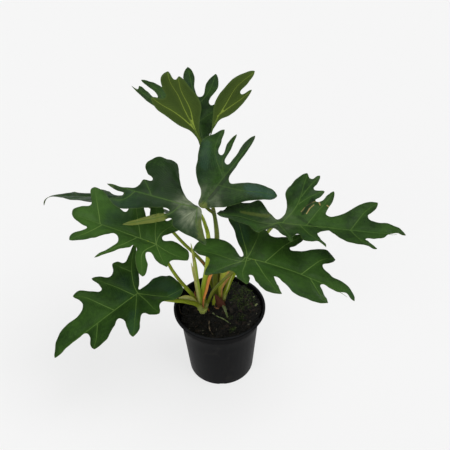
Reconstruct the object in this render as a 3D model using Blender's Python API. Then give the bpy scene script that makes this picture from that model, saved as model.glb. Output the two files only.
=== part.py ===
"""A potted lacy tree philodendron.

A tapered nursery pot filled with potting mix holds two crowns. From them grow eight petioles,
each with one deeply lobed blade. A blade is drawn flat, as if pressed, and then bent into its pose.
Metres, +Z up. The origin is the centre of the pot's foot. The front is towards -Y.
"""
import math
from typing import NamedTuple

import bmesh
import bpy
import numpy as np
from mathutils import Vector
from mathutils.bvhtree import BVHTree
from mathutils.geometry import delaunay_2d_cdt

MM = 0.001
CLEAR = 0.3 * MM

# Pot
POT_RADIUS = 65 * MM
POT_HEIGHT = 115 * MM
FOOT_RADIUS = 47 * MM
FOOT_BEVEL = 1 * MM
COLLAR_HEIGHT = 22 * MM
COLLAR_STEP = 1.5 * MM
BODY_TOP_RADIUS = 55.5 * MM
RIM_LIP = 3.5 * MM
POT_WALL = 1.6 * MM
POT_FLOOR = 3 * MM
POT_SIDES = 48
DRAIN_RADIUS = 4 * MM
DRAIN_CIRCLE = 27 * MM
DRAIN_COUNT = 6
DRAIN_SIDES = 12
NOTCH_WIDTH = 7 * MM
NOTCH_DEPTH = 1.5 * MM
NOTCH_COUNT = 4

# Potting mix. A wave of its top has radians per metre along X and along Y, a phase and a share.
SOIL_TOP = 99 * MM
SOIL_RELIEF = 1.6 * MM
SOIL_WAVES = [(210, 180, 1.0, 0.5), (210, -180, 1.0, 0.5), (390, -330, 2.0, 0.6), (120, 450, 1.6, 0.4)]
HEAP = 3 * MM
HEAP_REACH = 15 * MM
SOIL_HEEL = 5 * MM
SOIL_SHOULDER = 12 * MM
SOIL_MARGIN = 2 * MM
SOIL_RINGS = 8
SOIL_SIDES = 36
SOIL_SMOOTH = math.radians(20)

# Crowns. The outline goes up from the mix, as radius and height above it in millimetres.
CROWN_RADIUS = 6 * MM
CROWN_DEPTH = 20 * MM
CROWN_OUTLINE = [(6, 6), (8.5, 9), (7.7, 11), (4.3, 13.5), (0, 14.5)]
CROWN_SIDES = 16
HOLE_SIDES = 20

# Leaves. Lengths in millimetres, apart from the thickness.
BLADE_THICK = 0.8 * MM
EDGE_STEP = 5.0
GRID = 10.5
ROW_SHARE = 0.87
RIB_SHARE = 0.8
EDGE_SHARE = 0.5
FOLD_ROUND = 6.0
TIP_ROUND = 0.45
LIFT_SHARE = 0.8
HOOK_START = 0.9
WAVE_RUN = 9.0
WAVE_SHIFT = 2.2
WAVE_START = 12.0
WAVE_RISE = 30.0
BEND_STEPS = 64

# Stalks. Lengths in millimetres.
STALK_STEP = 10.0
STALK_SIDES = 8
STUB = 9.0
ROOTED = 4.0
SPLICE = 2.0
BIT_STEP = 3.0


def tip(x, y):
    """A point of a leaf's edge where the edge turns sharply."""
    return (x, y, True)


class Leaf(NamedTuple):
    """One leaf. Edge and joint in millimetres, angles in degrees.

    In the edge, the midrib runs along +Y from the joint at 0, 0, and +X is the blade's right side.
    The other fields bend that pattern: fold raises both sides at the base and at the tip, hook
    turns the end of the midrib down, back raises what lies behind the joint, and lift raises one
    basal lobe.
    """
    joint: tuple
    heading: float
    length: float
    pitch: float
    roll: float
    droop: float
    fold: tuple
    edge: list
    seat: tuple = (0, 1)
    hook: float = 0.0
    back: float = 0.0
    back_run: float = 20.0
    lift: float = 0.0
    lift_tip: tuple = (20, -60)
    lift_width: float = 45.0
    wave: float = 1.5


LEAVES = {
    "top": Leaf((-14, 60, 347), 100, 125, 30, 0, -10, (10, 5), [
        (1, -4), (-1, -14), (-5, -32), (-3, -50), (0, -64), (-3, -76), (-11, -88), tip(-24, -104),
        (-29, -100), tip(-37, -111), (-46, -105), (-46, -92), (-43, -79), tip(-61, -80), (-56, -66),
        (-46, -57), (-30, -43), (-17, -35), (-9, -25), (-6, -13), (-4, -4), (-7, 8), (-14, 19),
        (-28, 28), (-40, 39), (-52, 56), (-64, 69), (-71, 78), tip(-80, 94), (-73, 87),
        tip(-70, 93), (-61, 83), (-49, 73), (-51, 82), (-58, 90), tip(-66, 105), (-56, 102),
        (-42, 91), (-30, 74), (-17, 67), (-9, 90), (-9, 108), tip(0, 125), (6, 108), (3, 84),
        (8, 70), (20, 91), tip(35, 103), (35, 84), (19, 54), (32, 56), tip(46, 60), (36, 42),
        (19, 20), (9, 8), (6, -4), (7, -18), (13, -34), (22, -44), (36, -48), (50, -56),
        tip(68, -76), (53, -73), (64, -86), tip(73, -99), (57, -98), (43, -93), (29, -81),
        (18, -68), (14, -52), (11, -36), (4, -15),
    ], seat=(1, 0), back=135),
    "upper": Leaf((-16, -22, 309), 48.2, 119, 24, 42, -10, (5, 5), [
        (2, -4), (-4, -3), (-8, 6), (-13, 13), (-24, 19), (-34, 28), (-41, 41), (-46, 51),
        (-50, 60), (-49, 70), (-44, 79), tip(-37, 94), (-31, 80), (-21, 65), (-23, 84),
        tip(-21, 102), (-15, 82), (-8, 61), (-9, 74), (-11, 106), tip(-1, 120), (3, 98), (4, 70),
        (10, 45), (19, 52), (30, 62), (45, 71), (60, 75), tip(68, 72), (66, 65), (55, 54),
        (40, 39), (30, 24), (24, 16), (18, 10), (10, 3), (5, -2),
    ]),
    "left_upper": Leaf((-22, -30, 309), 176.9, 111, 20, -30, -5, (-10, -10), [
        (1, -5), (-12, -8), (-26, -14), tip(-42, -21), (-37, -7), (-33, 12), (-29, 24), (-21, 27),
        (-28, 38), (-36, 58), tip(-44, 82), (-32, 66), (-20, 46), (-13, 32), (-14, 52), (-22, 76),
        (-25, 92), tip(-17, 105), (-13, 96), (-7, 89), (-5, 99), tip(0, 112), (1, 94), (4, 81),
        (10, 75), tip(18, 72), (22, 61), (30, 69), (42, 74), (53, 68), (59, 61), (57, 50),
        (58, 43), (55, 36), (42, 31), (20, 23), (8, 13), (4, 5), (3, -1),
    ]),
    "left": Leaf((-74, -47, 269), 169.4, 109, 20, -6, -2, (15, 7), [
        (9, -6), (12, -18), (10, -31), (5, -41), tip(-9, -43), (-21, -25), (-30, -22),
        tip(-40, -21), (-33, -8), (-21, 5), (-48, 0), tip(-71, 1), (-64, 8), (-42, 17), (-18, 25),
        (-26, 37), tip(-61, 61), (-42, 50), (-20, 44), (-9, 50), (-14, 60), (-27, 71), (-41, 85),
        tip(-46, 96), (-34, 97), (-21, 88), (-14, 85), (-11, 93), (-6, 104), tip(0, 109),
        (8, 110), (15, 104), (22, 93), (32, 96), (44, 101), tip(50, 98), (50, 88), (40, 74),
        (30, 57), (28, 50), (36, 48), (50, 52), tip(57, 46), (50, 36), (38, 27), (32, 22),
        (42, 22), (54, 25), tip(64, 22), (60, 13), (48, 6), (35, -1), (41, -8), tip(49, -18),
        (38, -24), (28, -19), (19, -10), (13, -4),
    ]),
    "left_low": Leaf((-106, -40, 181), 211.7, 134, -17, -5, -9, (18, 9), [
        (3, -9), (3, -19), (4, -30), (-8, -46), (-28, -49), tip(-47, -48), (-58, -40),
        tip(-60, -29), (-48, -14), tip(-62, -4), (-54, 5), (-42, 12), (-52, 20), (-66, 28),
        tip(-68, 38), (-50, 38), (-32, 35), (-20, 40), (-26, 50), (-36, 67), tip(-37, 85),
        (-26, 87), (-12, 82), (-2, 84), (0, 92), (0, 111), tip(0, 134), (8, 129), (18, 120),
        (25, 106), (26, 93), (26, 80), (34, 66), (42, 66), tip(54, 70), (54, 61), (42, 48),
        (34, 36), (43, 34), tip(56, 37), (53, 28), (43, 16), (46, 9), tip(55, 4), (53, -3),
        (46, -9), (52, -20), tip(63, -37), (50, -31), (34, -22), (18, -14), (9, -8), (4, -4),
    ]),
    "front_right": Leaf((35, -50, 246), -15.4, 147, -4, -5, -26, (16, 8), [
        (-1, -4), (-12, -8), (-25, -17), (-39, -24), (-56, -36), (-71, -39), tip(-79, -35),
        (-74, -24), (-58, -10), (-60, -1), tip(-60, 9), (-52, 15), (-42, 26), (-47, 38),
        (-58, 50), tip(-68, 64), (-55, 62), (-43, 56), (-33, 50), (-37, 63), (-46, 77), (-55, 95),
        tip(-50, 109), (-38, 103), (-28, 95), (-20, 108), (-19, 128), (-12, 142), tip(0, 147),
        (-5, 134), (3, 119), (3, 100), (20, 104), tip(42, 110), (49, 101), (52, 86), (52, 66),
        (42, 55), (33, 43), (48, 46), (63, 51), tip(75, 55), (81, 46), (75, 34), (58, 23),
        (46, 16), (62, 17), tip(76, 16), (74, 8), (64, 2), (54, -4), (65, -16), tip(78, -32),
        (66, -35), (40, -37), (22, -42), (20, -54), tip(10, -65), (-7, -65), (-17, -56),
        (-21, -45), (-20, -31), (-12, -17), (-5, -11),
    ]),
    "right": Leaf((78, -18, 275), -9.9, 158, -2, 0, 0, (16, 10), [
        (-5, -2), (-9, 4), (-22, 8), (-36, 7), (-50, 4), (-65, 10), (-79, 19), tip(-84, 29),
        (-76, 34), tip(-84, 46), (-70, 44), (-59, 40), (-58, 46), tip(-60, 54), (-50, 50),
        (-41, 44), (-44, 52), (-54, 58), tip(-63, 66), (-47, 66), (-33, 61), (-21, 59), (-19, 66),
        (-30, 86), (-45, 102), (-53, 113), tip(-52, 123), (-40, 120), (-26, 111), (-18, 120),
        (-17, 138), (-11, 151), tip(-2, 158), (-3, 148), (-1, 138), (9, 131), (17, 119), (16, 109),
        (27, 112), tip(42, 121), (40, 111), (36, 96), (28, 82), (18, 70), (8, 61), (20, 50),
        (36, 54), tip(56, 61), (46, 50), (44, 35), (28, 26), (36, 21), tip(52, 20), (42, 14),
        (32, 5), (21, -4), (31, -13), tip(46, -24), (33, -33), (29, -47), (27, -61),
        tip(17, -77), (4, -73), (-10, -67), (-19, -59), (-23, -45), (-30, -28), (-22, -19),
        (-12, -11),
    ], lift=8),
    "left_back": Leaf((-85, 40, 264), 171, 150, 12, 22, -18, (4, 4), [
        (1, -8), (-6, -22), (-16, -30), tip(-24, -28), (-25, -14), (-16, -2), (-24, 10),
        tip(-31, 24), (-22, 30), (-18, 40), (-26, 50), (-34, 62), tip(-38, 78), (-33, 92),
        tip(-28, 105), (-18, 113), (-10, 122), (-7, 132), (-7, 142), tip(-9, 152), (-1, 144),
        (3, 136), (8, 127), (12, 116), tip(18, 110), (13, 101), (13, 92), (16, 86),
        (26, 86), tip(36, 82), (28, 66), (17, 56), (16, 46), (28, 44), tip(40, 36), (30, 24),
        (18, 14), (17, 4), (26, -6), tip(34, -20), (22, -26), (10, -18), (4, -10),
    ], hook=80, wave=0.8),
}


class Stalk(NamedTuple):
    """A petiole or sheath: its route in millimetres, radii at its foot and top, and flatness."""
    route: list
    foot: float
    top: float
    flat: float = 1.0
    taper: float = 1.0


CROWNS = {"front": (-24, 1), "back": (0, 20)}

PETIOLES = {
    "top": ("back", Stalk([(2, 25, 112), (1, 23, 164), (0, 21, 221), (-3, 25, 261), (-11, 35, 299),
                           (-14, 49, 328)], 3.0, 1.9)),
    "upper": ("back", Stalk([(-4, 17, 113), (-5, 15, 150), (-2, 10, 205), (0, 5, 236),
                             (-1, -2, 266), (-3, -8, 284), (-8, -15, 295)], 3.0, 1.9)),
    "left_upper": ("front", Stalk([(-22, 5, 115), (-22, 4, 142), (-14, 1, 194),
                                   (-11, -8, 244), (-14, -16, 273), (-18, -24, 294)], 2.8, 1.8)),
    "left": ("front", Stalk([(-28, 5, 114), (-34, 1, 130), (-43, -4, 151), (-53, -12, 177),
                             (-60, -21, 202), (-65, -32, 228)], 2.8, 1.8)),
    "left_low": ("front", Stalk([(-27, -4, 116), (-33, -8, 127), (-41, -12, 134), (-50, -17, 142),
                                 (-61, -23, 149), (-80, -32, 162)], 3.0, 1.9)),
    "front_right": ("front", Stalk([(-18, 2, 115), (-14, -4, 131), (-7, -10, 154), (6, -21, 181),
                                    (18, -37, 210)], 3.0, 1.9)),
    "right": ("back", Stalk([(6, 20, 112), (11, 21, 127), (19, 21, 150), (41, 20, 188),
                             (61, 10, 228), (72, -3, 256)], 3.0, 1.9)),
    "left_back": ("back", Stalk([(-5, 25, 113), (-11, 24, 138), (-18, 25, 168), (-33, 27, 190),
                                 (-46, 30, 205), (-60, 35, 222)], 2.8, 1.8)),
}

SHEATHS = {
    "sheath_pale": ("front", Stalk([(-26, -2, 113), (-28, -4, 140), (-30, -6, 172), (-31, -7, 203),
                                    (-34, -9, 237)], 2.8, 0.8, 0.35, 0.8)),
    "sheath_dry": ("front", Stalk([(-23, -4, 112), (-22, -7, 132), (-17, -9, 154), (-13, -11, 174),
                                   (-8, -13, 190)], 2.2, 1.9, 0.3)),
    "sheath_broad": ("back", Stalk([(2, 12, 112), (2, 9, 135), (4, 7, 147), (7, 4, 159),
                                    (11, 1, 176)], 2.8, 5.6, 0.25)),
}

BITS = {
    "root_pale": Stalk([(-15, -17), (-15, -26), (-14, -35), (-10, -43)], 1.1, 0.7),
    "twig_green": Stalk([(-10, -1), (-3, -8), (6, -14), (15, -23)], 0.9, 0.7),
    "stub_green": Stalk([(6, 11), (8, 3), (11, -11)], 2.4, 1.3, 0.6),
    "bark_left": Stalk([(-53, -3, 101.6), (-56.3, 0, 103.6), (-57.5, 5, 107.2), (-58.3, 10, 111)],
                       0.9, 0.7),
    "bark_right": Stalk([(15, 8), (17, 3), (17, -2)], 2.4, 1.7, 0.5),
}

# Looks: a colour and a roughness each
BLACK_PLASTIC = ((0.02, 0.021, 0.023), 0.42)
MIX_LOOK = ((0.018, 0.014, 0.011), 0.95)
BLADE_LOOK = ((0.03, 0.11, 0.03), 0.4)
PETIOLE_LOOK = ((0.12, 0.2, 0.035), 0.45)
CROWN_LOOK = ((0.3, 0.32, 0.14), 0.6)
LOOKS = {
    "sheath_pale": ((0.42, 0.42, 0.22), 0.6),
    "sheath_dry": ((0.4, 0.16, 0.05), 0.7),
    "sheath_broad": ((0.3, 0.3, 0.06), 0.5),
    "root_pale": ((0.42, 0.36, 0.24), 0.7),
    "twig_green": ((0.2, 0.3, 0.06), 0.6),
    "stub_green": ((0.2, 0.24, 0.12), 0.7),
    "bark_left": ((0.2, 0.1, 0.05), 0.9),
    "bark_right": ((0.2, 0.1, 0.05), 0.9),
}


def clear_scene():
    for thing in list(bpy.data.objects):
        bpy.data.objects.remove(thing, do_unlink=True)


def material(name, colour, roughness):
    made = bpy.data.materials.new(name)
    made.use_nodes = True
    shader = made.node_tree.nodes["Principled BSDF"]
    shader.inputs["Base Color"].default_value = (*colour, 1.0)
    shader.inputs["Roughness"].default_value = roughness
    return made


def add(name, mesh, look, smooth=math.radians(40)):
    """Makes a mesh an object of that name, with its own material."""
    mesh.shade_smooth()
    mesh.set_sharp_from_angle(angle=smooth)
    mesh.materials.append(material(name, *look))
    made = bpy.data.objects.new(name, mesh)
    bpy.context.scene.collection.objects.link(made)
    return made


def mesh_from(name, points, faces):
    """A mesh whose faces point out."""
    mesh = bpy.data.meshes.new(name)
    mesh.from_pydata([tuple(p) for p in points], [], faces)
    body = bmesh.new()
    body.from_mesh(mesh)
    bmesh.ops.recalc_face_normals(body, faces=body.faces)
    body.to_mesh(mesh)
    body.free()
    return mesh


def turned(name, profile, sides):
    """A profile of radius and height pairs, from the axis round to the axis, turned about Z."""
    points = []
    rings = []
    for radius, z in profile:
        if radius == 0:
            rings.append([len(points)])
            points.append((0, 0, z))
            continue
        ring = []
        for k in range(sides):
            angle = math.tau * k / sides
            ring.append(len(points))
            points.append((radius * math.cos(angle), radius * math.sin(angle), z))
        rings.append(ring)
    faces = []
    for low, high in zip(rings, rings[1:]):
        for k in range(sides):
            after = (k + 1) % sides
            corners = [low[k % len(low)], low[after % len(low)],
                       high[after % len(high)], high[k % len(high)]]
            faces.append(list(dict.fromkeys(corners)))
    return mesh_from(name, points, faces)


def cutter(name, mesh):
    """A hidden body that a Boolean takes away."""
    made = bpy.data.objects.new(name, mesh)
    bpy.context.scene.collection.objects.link(made)
    made.display_type = "WIRE"
    made.hide_render = True
    return made


def cut(target, tool):
    boolean = target.modifiers.new("cut", "BOOLEAN")
    boolean.operation = "DIFFERENCE"
    boolean.solver = "EXACT"
    boolean.object = tool


def inner_radius(z):
    """The pot's inner radius at a height: the body's taper, then the flared collar."""
    collar = POT_HEIGHT - COLLAR_HEIGHT
    if z < collar:
        outer = FOOT_RADIUS + (BODY_TOP_RADIUS - FOOT_RADIUS) * z / collar
    else:
        foot = BODY_TOP_RADIUS + COLLAR_STEP
        outer = foot + (POT_RADIUS - POT_WALL - foot) * (z - collar) / COLLAR_HEIGHT
    return outer - POT_WALL


def make_pot():
    """The tapered pot with its flared collar, rolled rim, drain holes and foot notches."""
    collar = POT_HEIGHT - COLLAR_HEIGHT
    profile = [
        (0, 0), (FOOT_RADIUS - FOOT_BEVEL, 0), (FOOT_RADIUS, FOOT_BEVEL),
        (BODY_TOP_RADIUS, collar - COLLAR_STEP), (BODY_TOP_RADIUS + COLLAR_STEP, collar),
        (POT_RADIUS - POT_WALL, POT_HEIGHT - RIM_LIP - POT_WALL / 2),
        (POT_RADIUS, POT_HEIGHT - RIM_LIP),
        (POT_RADIUS, POT_HEIGHT - RIM_LIP / 3),
        (POT_RADIUS - POT_WALL / 2, POT_HEIGHT),
        (POT_RADIUS - POT_WALL * 1.5, POT_HEIGHT),
        (POT_RADIUS - POT_WALL * 2, POT_HEIGHT - RIM_LIP / 2),
        (inner_radius(collar) - COLLAR_STEP / 2, collar - COLLAR_STEP / 2),
        (inner_radius(collar - 2 * COLLAR_STEP), collar - 2 * COLLAR_STEP),
        (inner_radius(POT_FLOOR + 2 * FOOT_BEVEL), POT_FLOOR + 2 * FOOT_BEVEL),
        (inner_radius(POT_FLOOR) - 2 * FOOT_BEVEL, POT_FLOOR), (0, POT_FLOOR),
    ]
    pot = add("pot", turned("pot", profile, POT_SIDES), BLACK_PLASTIC)
    tools = []
    for k in range(DRAIN_COUNT):
        angle = math.tau * (k + 0.5) / DRAIN_COUNT
        drill = turned("drain", [(0, -POT_FLOOR), (DRAIN_RADIUS, -POT_FLOOR),
                                 (DRAIN_RADIUS, 2 * POT_FLOOR), (0, 2 * POT_FLOOR)], DRAIN_SIDES)
        shift = Vector((DRAIN_CIRCLE * math.cos(angle), DRAIN_CIRCLE * math.sin(angle), 0))
        for vertex in drill.vertices:
            vertex.co += shift
        tools.append(drill)
    for k in range(NOTCH_COUNT):
        angle = math.tau * k / NOTCH_COUNT
        out = Vector((math.cos(angle), math.sin(angle), 0))
        side = Vector((-math.sin(angle), math.cos(angle), 0))
        corners = []
        for r in (FOOT_RADIUS - NOTCH_DEPTH, FOOT_RADIUS + NOTCH_DEPTH):
            for s in (-NOTCH_WIDTH / 2, NOTCH_WIDTH / 2):
                for z in (-NOTCH_DEPTH, NOTCH_DEPTH):
                    corners.append(out * r + side * s + Vector((0, 0, z)))
        box = [(0, 1, 3, 2), (4, 6, 7, 5), (0, 4, 5, 1), (2, 3, 7, 6), (0, 2, 6, 4), (1, 5, 7, 3)]
        tools.append(mesh_from("notch", corners, box))
    joined = bmesh.new()
    for tool in tools:
        joined.from_mesh(tool)
    mesh = bpy.data.meshes.new("pot_cuts")
    joined.to_mesh(mesh)
    joined.free()
    cut(pot, cutter("pot_cuts", mesh))
    return pot


def soil_height(x, y):
    """The chunky top of the mix: a few crossing waves, heaped up a little round each crown."""
    waves = sum(share * math.sin(x * along + y * across + phase)
                for along, across, phase, share in SOIL_WAVES)
    heap = sum(math.exp(-((x - a * MM) ** 2 + (y - b * MM) ** 2) / HEAP_REACH ** 2)
               for a, b in CROWNS.values())
    return SOIL_TOP + SOIL_RELIEF * waves + HEAP * heap


def make_soil():
    """The mix: it fills the pot, with a bumpy top and a plain round hole for each crown."""
    gap = 2 * CLEAR
    floor = POT_FLOOR + CLEAR
    heel = POT_FLOOR + SOIL_HEEL
    shoulder = SOIL_TOP - SOIL_SHOULDER
    profile = [(0, floor), (inner_radius(POT_FLOOR) - SOIL_HEEL, floor),
               (inner_radius(heel) - gap, heel), (inner_radius(shoulder) - gap, shoulder)]
    rim = inner_radius(SOIL_TOP - 2 * SOIL_MARGIN) - SOIL_MARGIN
    for k in range(SOIL_RINGS):
        profile.append((rim * (1 - k / SOIL_RINGS), SOIL_TOP))
    profile.append((0, SOIL_TOP))
    mesh = turned("soil", profile, SOIL_SIDES)
    for vertex in mesh.vertices:
        if vertex.co.z > SOIL_TOP - SOIL_MARGIN:
            vertex.co.z = soil_height(vertex.co.x, vertex.co.y)
    soil = add("soil", mesh, MIX_LOOK, SOIL_SMOOTH)
    joined = bmesh.new()
    radius = (CROWN_RADIUS + CLEAR) / math.cos(math.pi / HOLE_SIDES)
    low = SOIL_TOP - CROWN_DEPTH - CLEAR
    for x, y in CROWNS.values():
        drill = turned("hole", [(0, low), (radius, low), (radius, POT_HEIGHT), (0, POT_HEIGHT)],
                       HOLE_SIDES)
        for vertex in drill.vertices:
            vertex.co += Vector((x, y, 0)) * Vector((MM, MM, 0))
        joined.from_mesh(drill)
    holes = bpy.data.meshes.new("soil_holes")
    joined.to_mesh(holes)
    joined.free()
    cut(soil, cutter("soil_holes", holes))
    return soil


def smooth_step(t):
    t = np.clip(t, 0, 1)
    return t * t * (3 - 2 * t)


def turn(points, pivot, axis, angle):
    """Points turned about an axis by an angle each, in radians."""
    axis = np.asarray(axis, float) / np.linalg.norm(axis)
    offset = points - pivot
    c = np.cos(angle)[:, None]
    s = np.sin(angle)[:, None]
    along = axis * (offset @ axis)[:, None]
    return pivot + offset * c + np.cross(axis, offset) * s + along * (1 - c)


def bend(flat, leaf):
    """Takes points of a leaf's flat pattern, in millimetres, to their places in the room."""
    flat = np.asarray(flat, float).reshape(-1, 2)
    points = np.column_stack([flat, np.zeros(len(flat))])
    if leaf.lift:
        reach = np.hypot(*leaf.lift_tip)
        out = np.array(leaf.lift_tip) / reach
        side = np.array([out[1], -out[0]])
        across = np.abs(flat @ side) - leaf.lift_width
        share = smooth_step(flat @ out / (LIFT_SHARE * reach))
        share = share * (1 - smooth_step(across * 2 / leaf.lift_width))
        points = turn(points, np.zeros(3), [*side, 0], np.radians(leaf.lift) * share)
    x, y, height = points.T
    steps = (np.arange(BEND_STEPS) + 0.5) / BEND_STEPS

    def slope(s):
        share = np.clip(s / leaf.length, 0, None)
        hook = leaf.hook * smooth_step((share - HOOK_START) / (1 - HOOK_START))
        behind = leaf.back * smooth_step(-s / leaf.back_run)
        return np.radians(leaf.pitch + leaf.droop * share - hook - behind)

    path = slope(y[:, None] * steps)
    run = np.cos(path).mean(1) * y
    rise = np.sin(path).mean(1) * y
    here = slope(y)
    base, end = leaf.fold
    fold = np.radians(base + (end - base) * smooth_step(y / leaf.length))
    wide = np.abs(x)
    sweep = fold[:, None] * smooth_step(wide[:, None] * steps / FOLD_ROUND)
    lean = fold * smooth_step(wide / FOLD_ROUND)
    right = (np.cos(sweep).mean(1) * wide - height * np.sin(lean)) * np.sign(x)
    wavy = leaf.wave * np.sin(y / WAVE_RUN + WAVE_SHIFT * np.sign(x))
    wavy = wavy * smooth_step((wide - WAVE_START) / WAVE_RISE)
    up = np.sin(sweep).mean(1) * wide + height * np.cos(lean) + wavy
    local = np.column_stack([right, run - up * np.sin(here), rise + up * np.cos(here)])
    pitch = math.radians(leaf.pitch)
    roll = np.full(len(local), math.radians(leaf.roll))
    local = turn(local, np.zeros(3), [0, math.cos(pitch), math.sin(pitch)], roll)
    heading = math.radians(leaf.heading)
    forward = np.array([math.cos(heading), math.sin(heading), 0])
    across = np.array([math.sin(heading), -math.cos(heading), 0])
    place = local[:, :1] * across + local[:, 1:2] * forward + local[:, 2:] * np.array([0, 0, 1.0])
    return np.array(leaf.joint, float) + place


def edge_curve(edge, step):
    """The smooth closed edge through a leaf's edge points, sharp at its tips."""
    spots = np.array([point[:2] for point in edge], float)
    sharp = [len(point) > 2 for point in edge]
    count = len(spots)
    ways = []
    for k in range(count):
        way = spots[(k + 1) % count] - spots[k]
        ways.append(way / np.linalg.norm(way))
    curve = []
    for k in range(count):
        after = (k + 1) % count
        reach = np.linalg.norm(spots[after] - spots[k])
        leave = ways[k] + ways[k - 1] * (TIP_ROUND if sharp[k] else 1)
        arrive = ways[k] + ways[after] * (TIP_ROUND if sharp[after] else 1)
        leave = leave / np.linalg.norm(leave) * reach
        arrive = arrive / np.linalg.norm(arrive) * reach
        for t in np.arange(0, 1, 1 / max(1, round(reach / step))):
            curve.append(spots[k] * (1 + 2 * t) * (1 - t) ** 2 + spots[after] * t * t * (3 - 2 * t)
                         + leave * t * (1 - t) ** 2 - arrive * t * t * (1 - t))
    return np.array(curve)


def inside(points, loop):
    """Which points lie inside a closed loop, and how far from its nearest corner."""
    x, y = points.T
    hit = np.zeros(len(points), bool)
    for a, b in zip(loop, np.roll(loop, -1, axis=0)):
        spans = (a[1] > y) != (b[1] > y)
        with np.errstate(divide="ignore", invalid="ignore"):
            cross = a[0] + (y - a[1]) * (b[0] - a[0]) / (b[1] - a[1])
        hit ^= spans & (x < cross)
    away = np.linalg.norm(points[:, None] - loop[None], axis=2).min(1)
    return hit, away


def blade_pattern(leaf, step, grid):
    """A leaf's flat pattern as points and triangles, with a row of points along the midrib."""
    loop = edge_curve(leaf.edge, step)
    low = loop.min(0)
    high = loop.max(0)
    rows = np.arange(low[1], high[1], grid * ROW_SHARE)
    spots = []
    for k, y in enumerate(rows):
        for x in np.arange(low[0] + grid / 2 * (k % 2), high[0], grid):
            if abs(x) > grid / 2:
                spots.append((x, y))
    for y in np.arange(low[1], high[1], grid * RIB_SHARE):
        spots.append((0, y))
    spots = np.array(spots)
    within, away = inside(spots, loop)
    spots = spots[within & (away > EDGE_SHARE * grid)]
    points = [Vector(p) for p in np.vstack([loop, spots])]
    edges = [(k, (k + 1) % len(loop)) for k in range(len(loop))]
    made = delaunay_2d_cdt(points, edges, [], 1, 1e-4)
    return np.array([tuple(p) for p in made[0]]), [list(face) for face in made[2]]


def make_blade(name, leaf):
    flat, faces = blade_pattern(leaf, EDGE_STEP, GRID)
    points = bend(flat, leaf) * MM
    mesh = bpy.data.meshes.new(name)
    mesh.from_pydata([tuple(p) for p in points], [], faces)
    blade = add(name, mesh, BLADE_LOOK)
    solidify = blade.modifiers.new("thickness", "SOLIDIFY")
    solidify.thickness = BLADE_THICK
    solidify.offset = 0
    return blade


def ways_along(line):
    """The way that a row of points goes at each of them, of unit length."""
    ways = np.gradient(line, axis=0)
    return ways / np.linalg.norm(ways, axis=1)[:, None]


def spline(route, step):
    """Points along a smooth curve through a route, a step apart, and the way at each."""
    knots = np.array(route, float)
    padded = np.vstack([2 * knots[0] - knots[1], knots, 2 * knots[-1] - knots[-2]])
    line = []
    for k in range(1, len(padded) - 2):
        a, b, c, d = padded[k - 1:k + 3]
        for t in np.linspace(0, 1, 40, endpoint=False):
            line.append(0.5 * (2 * b + (c - a) * t + (2 * a - 5 * b + 4 * c - d) * t ** 2
                               + (3 * b - a - 3 * c + d) * t ** 3))
    line.append(knots[-1])
    line = np.array(line)
    reach = np.concatenate([[0], np.cumsum(np.linalg.norm(np.diff(line, axis=0), axis=1))])
    marks = np.linspace(0, reach[-1], max(3, round(reach[-1] / step) + 1))
    even = np.column_stack([np.interp(marks, reach, line[:, k]) for k in range(3)])
    return even, ways_along(even), marks


def tube(name, centres, ways, radii, flat, facing=(0, 1, 0)):
    """A closed tube round a row of centres. Flat squeezes it along the way that it faces."""
    points = []
    rings = []
    for centre, way, radius in zip(centres, ways, radii):
        across = np.cross(way, facing)
        across = across / np.linalg.norm(across)
        front = np.cross(across, way)
        ring = []
        for k in range(STALK_SIDES):
            angle = math.tau * (k + 0.5) / STALK_SIDES
            ring.append(len(points))
            points.append(centre + radius * (math.cos(angle) * across + flat * math.sin(angle) * front))
        rings.append(ring)
    faces = [rings[0][::-1], rings[-1]]
    for low, high in zip(rings, rings[1:]):
        for k in range(STALK_SIDES):
            after = (k + 1) % STALK_SIDES
            faces.append([low[k], low[after], high[after], high[k]])
    return mesh_from(name, np.array(points) * MM, faces)


def stalk_parts(stalk, end=None):
    """A stalk's centres, ways and radii, cut into the stub that its crown keeps and the rest."""
    route = stalk.route + ([end] if end is not None else [])
    centres, ways, marks = spline(route, STALK_STEP)
    share = (marks / marks[-1]) ** stalk.taper if stalk.taper != 1 else marks / marks[-1]
    radii = stalk.foot + (stalk.top - stalk.foot) * share
    gap = CLEAR / MM
    at = [np.interp(STUB, marks, centres[:, k]) for k in range(3)]
    on = [np.interp(STUB + gap, marks, centres[:, k]) for k in range(3)]
    way = np.array([np.interp(STUB, marks, ways[:, k]) for k in range(3)])
    radius = np.interp(STUB, marks, radii)
    keep = marks > STUB + SPLICE
    root = centres[0] - ROOTED * ways[0]
    stub = (np.array([root, at]), np.array([ways[0], way]), [radii[0], radius])
    rest = (np.vstack([on, centres[keep]]), np.vstack([way, ways[keep]]), [radius, *radii[keep]])
    return stub, rest


def seat_of(leaf, stalk):
    """Where a petiole ends: its last face lies a hair under its blade's base."""
    x, y = leaf.seat
    here, ahead, aside = bend([(x, y), (x, y + 1), (x + 1, y)], leaf)
    normal = np.cross(aside - here, ahead - here)
    normal = normal / np.linalg.norm(normal)
    way = here - np.array(stalk.route[-1])
    lean = np.linalg.norm(np.cross(way, normal)) / np.linalg.norm(way)
    return here - normal * ((BLADE_THICK / 2 + CLEAR) / MM + stalk.top * lean)


def crown_body(name, place):
    """A crown's own body: a buried cylinder that swells above the mix and closes in a dome."""
    base = SOIL_TOP - CROWN_DEPTH
    profile = [(0, base), (CROWN_RADIUS, base)]
    profile += [(radius * MM, SOIL_TOP + height * MM) for radius, height in CROWN_OUTLINE]
    mesh = turned(name, profile, CROWN_SIDES)
    for vertex in mesh.vertices:
        vertex.co += Vector((place[0] * MM, place[1] * MM, 0))
    return mesh


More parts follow.
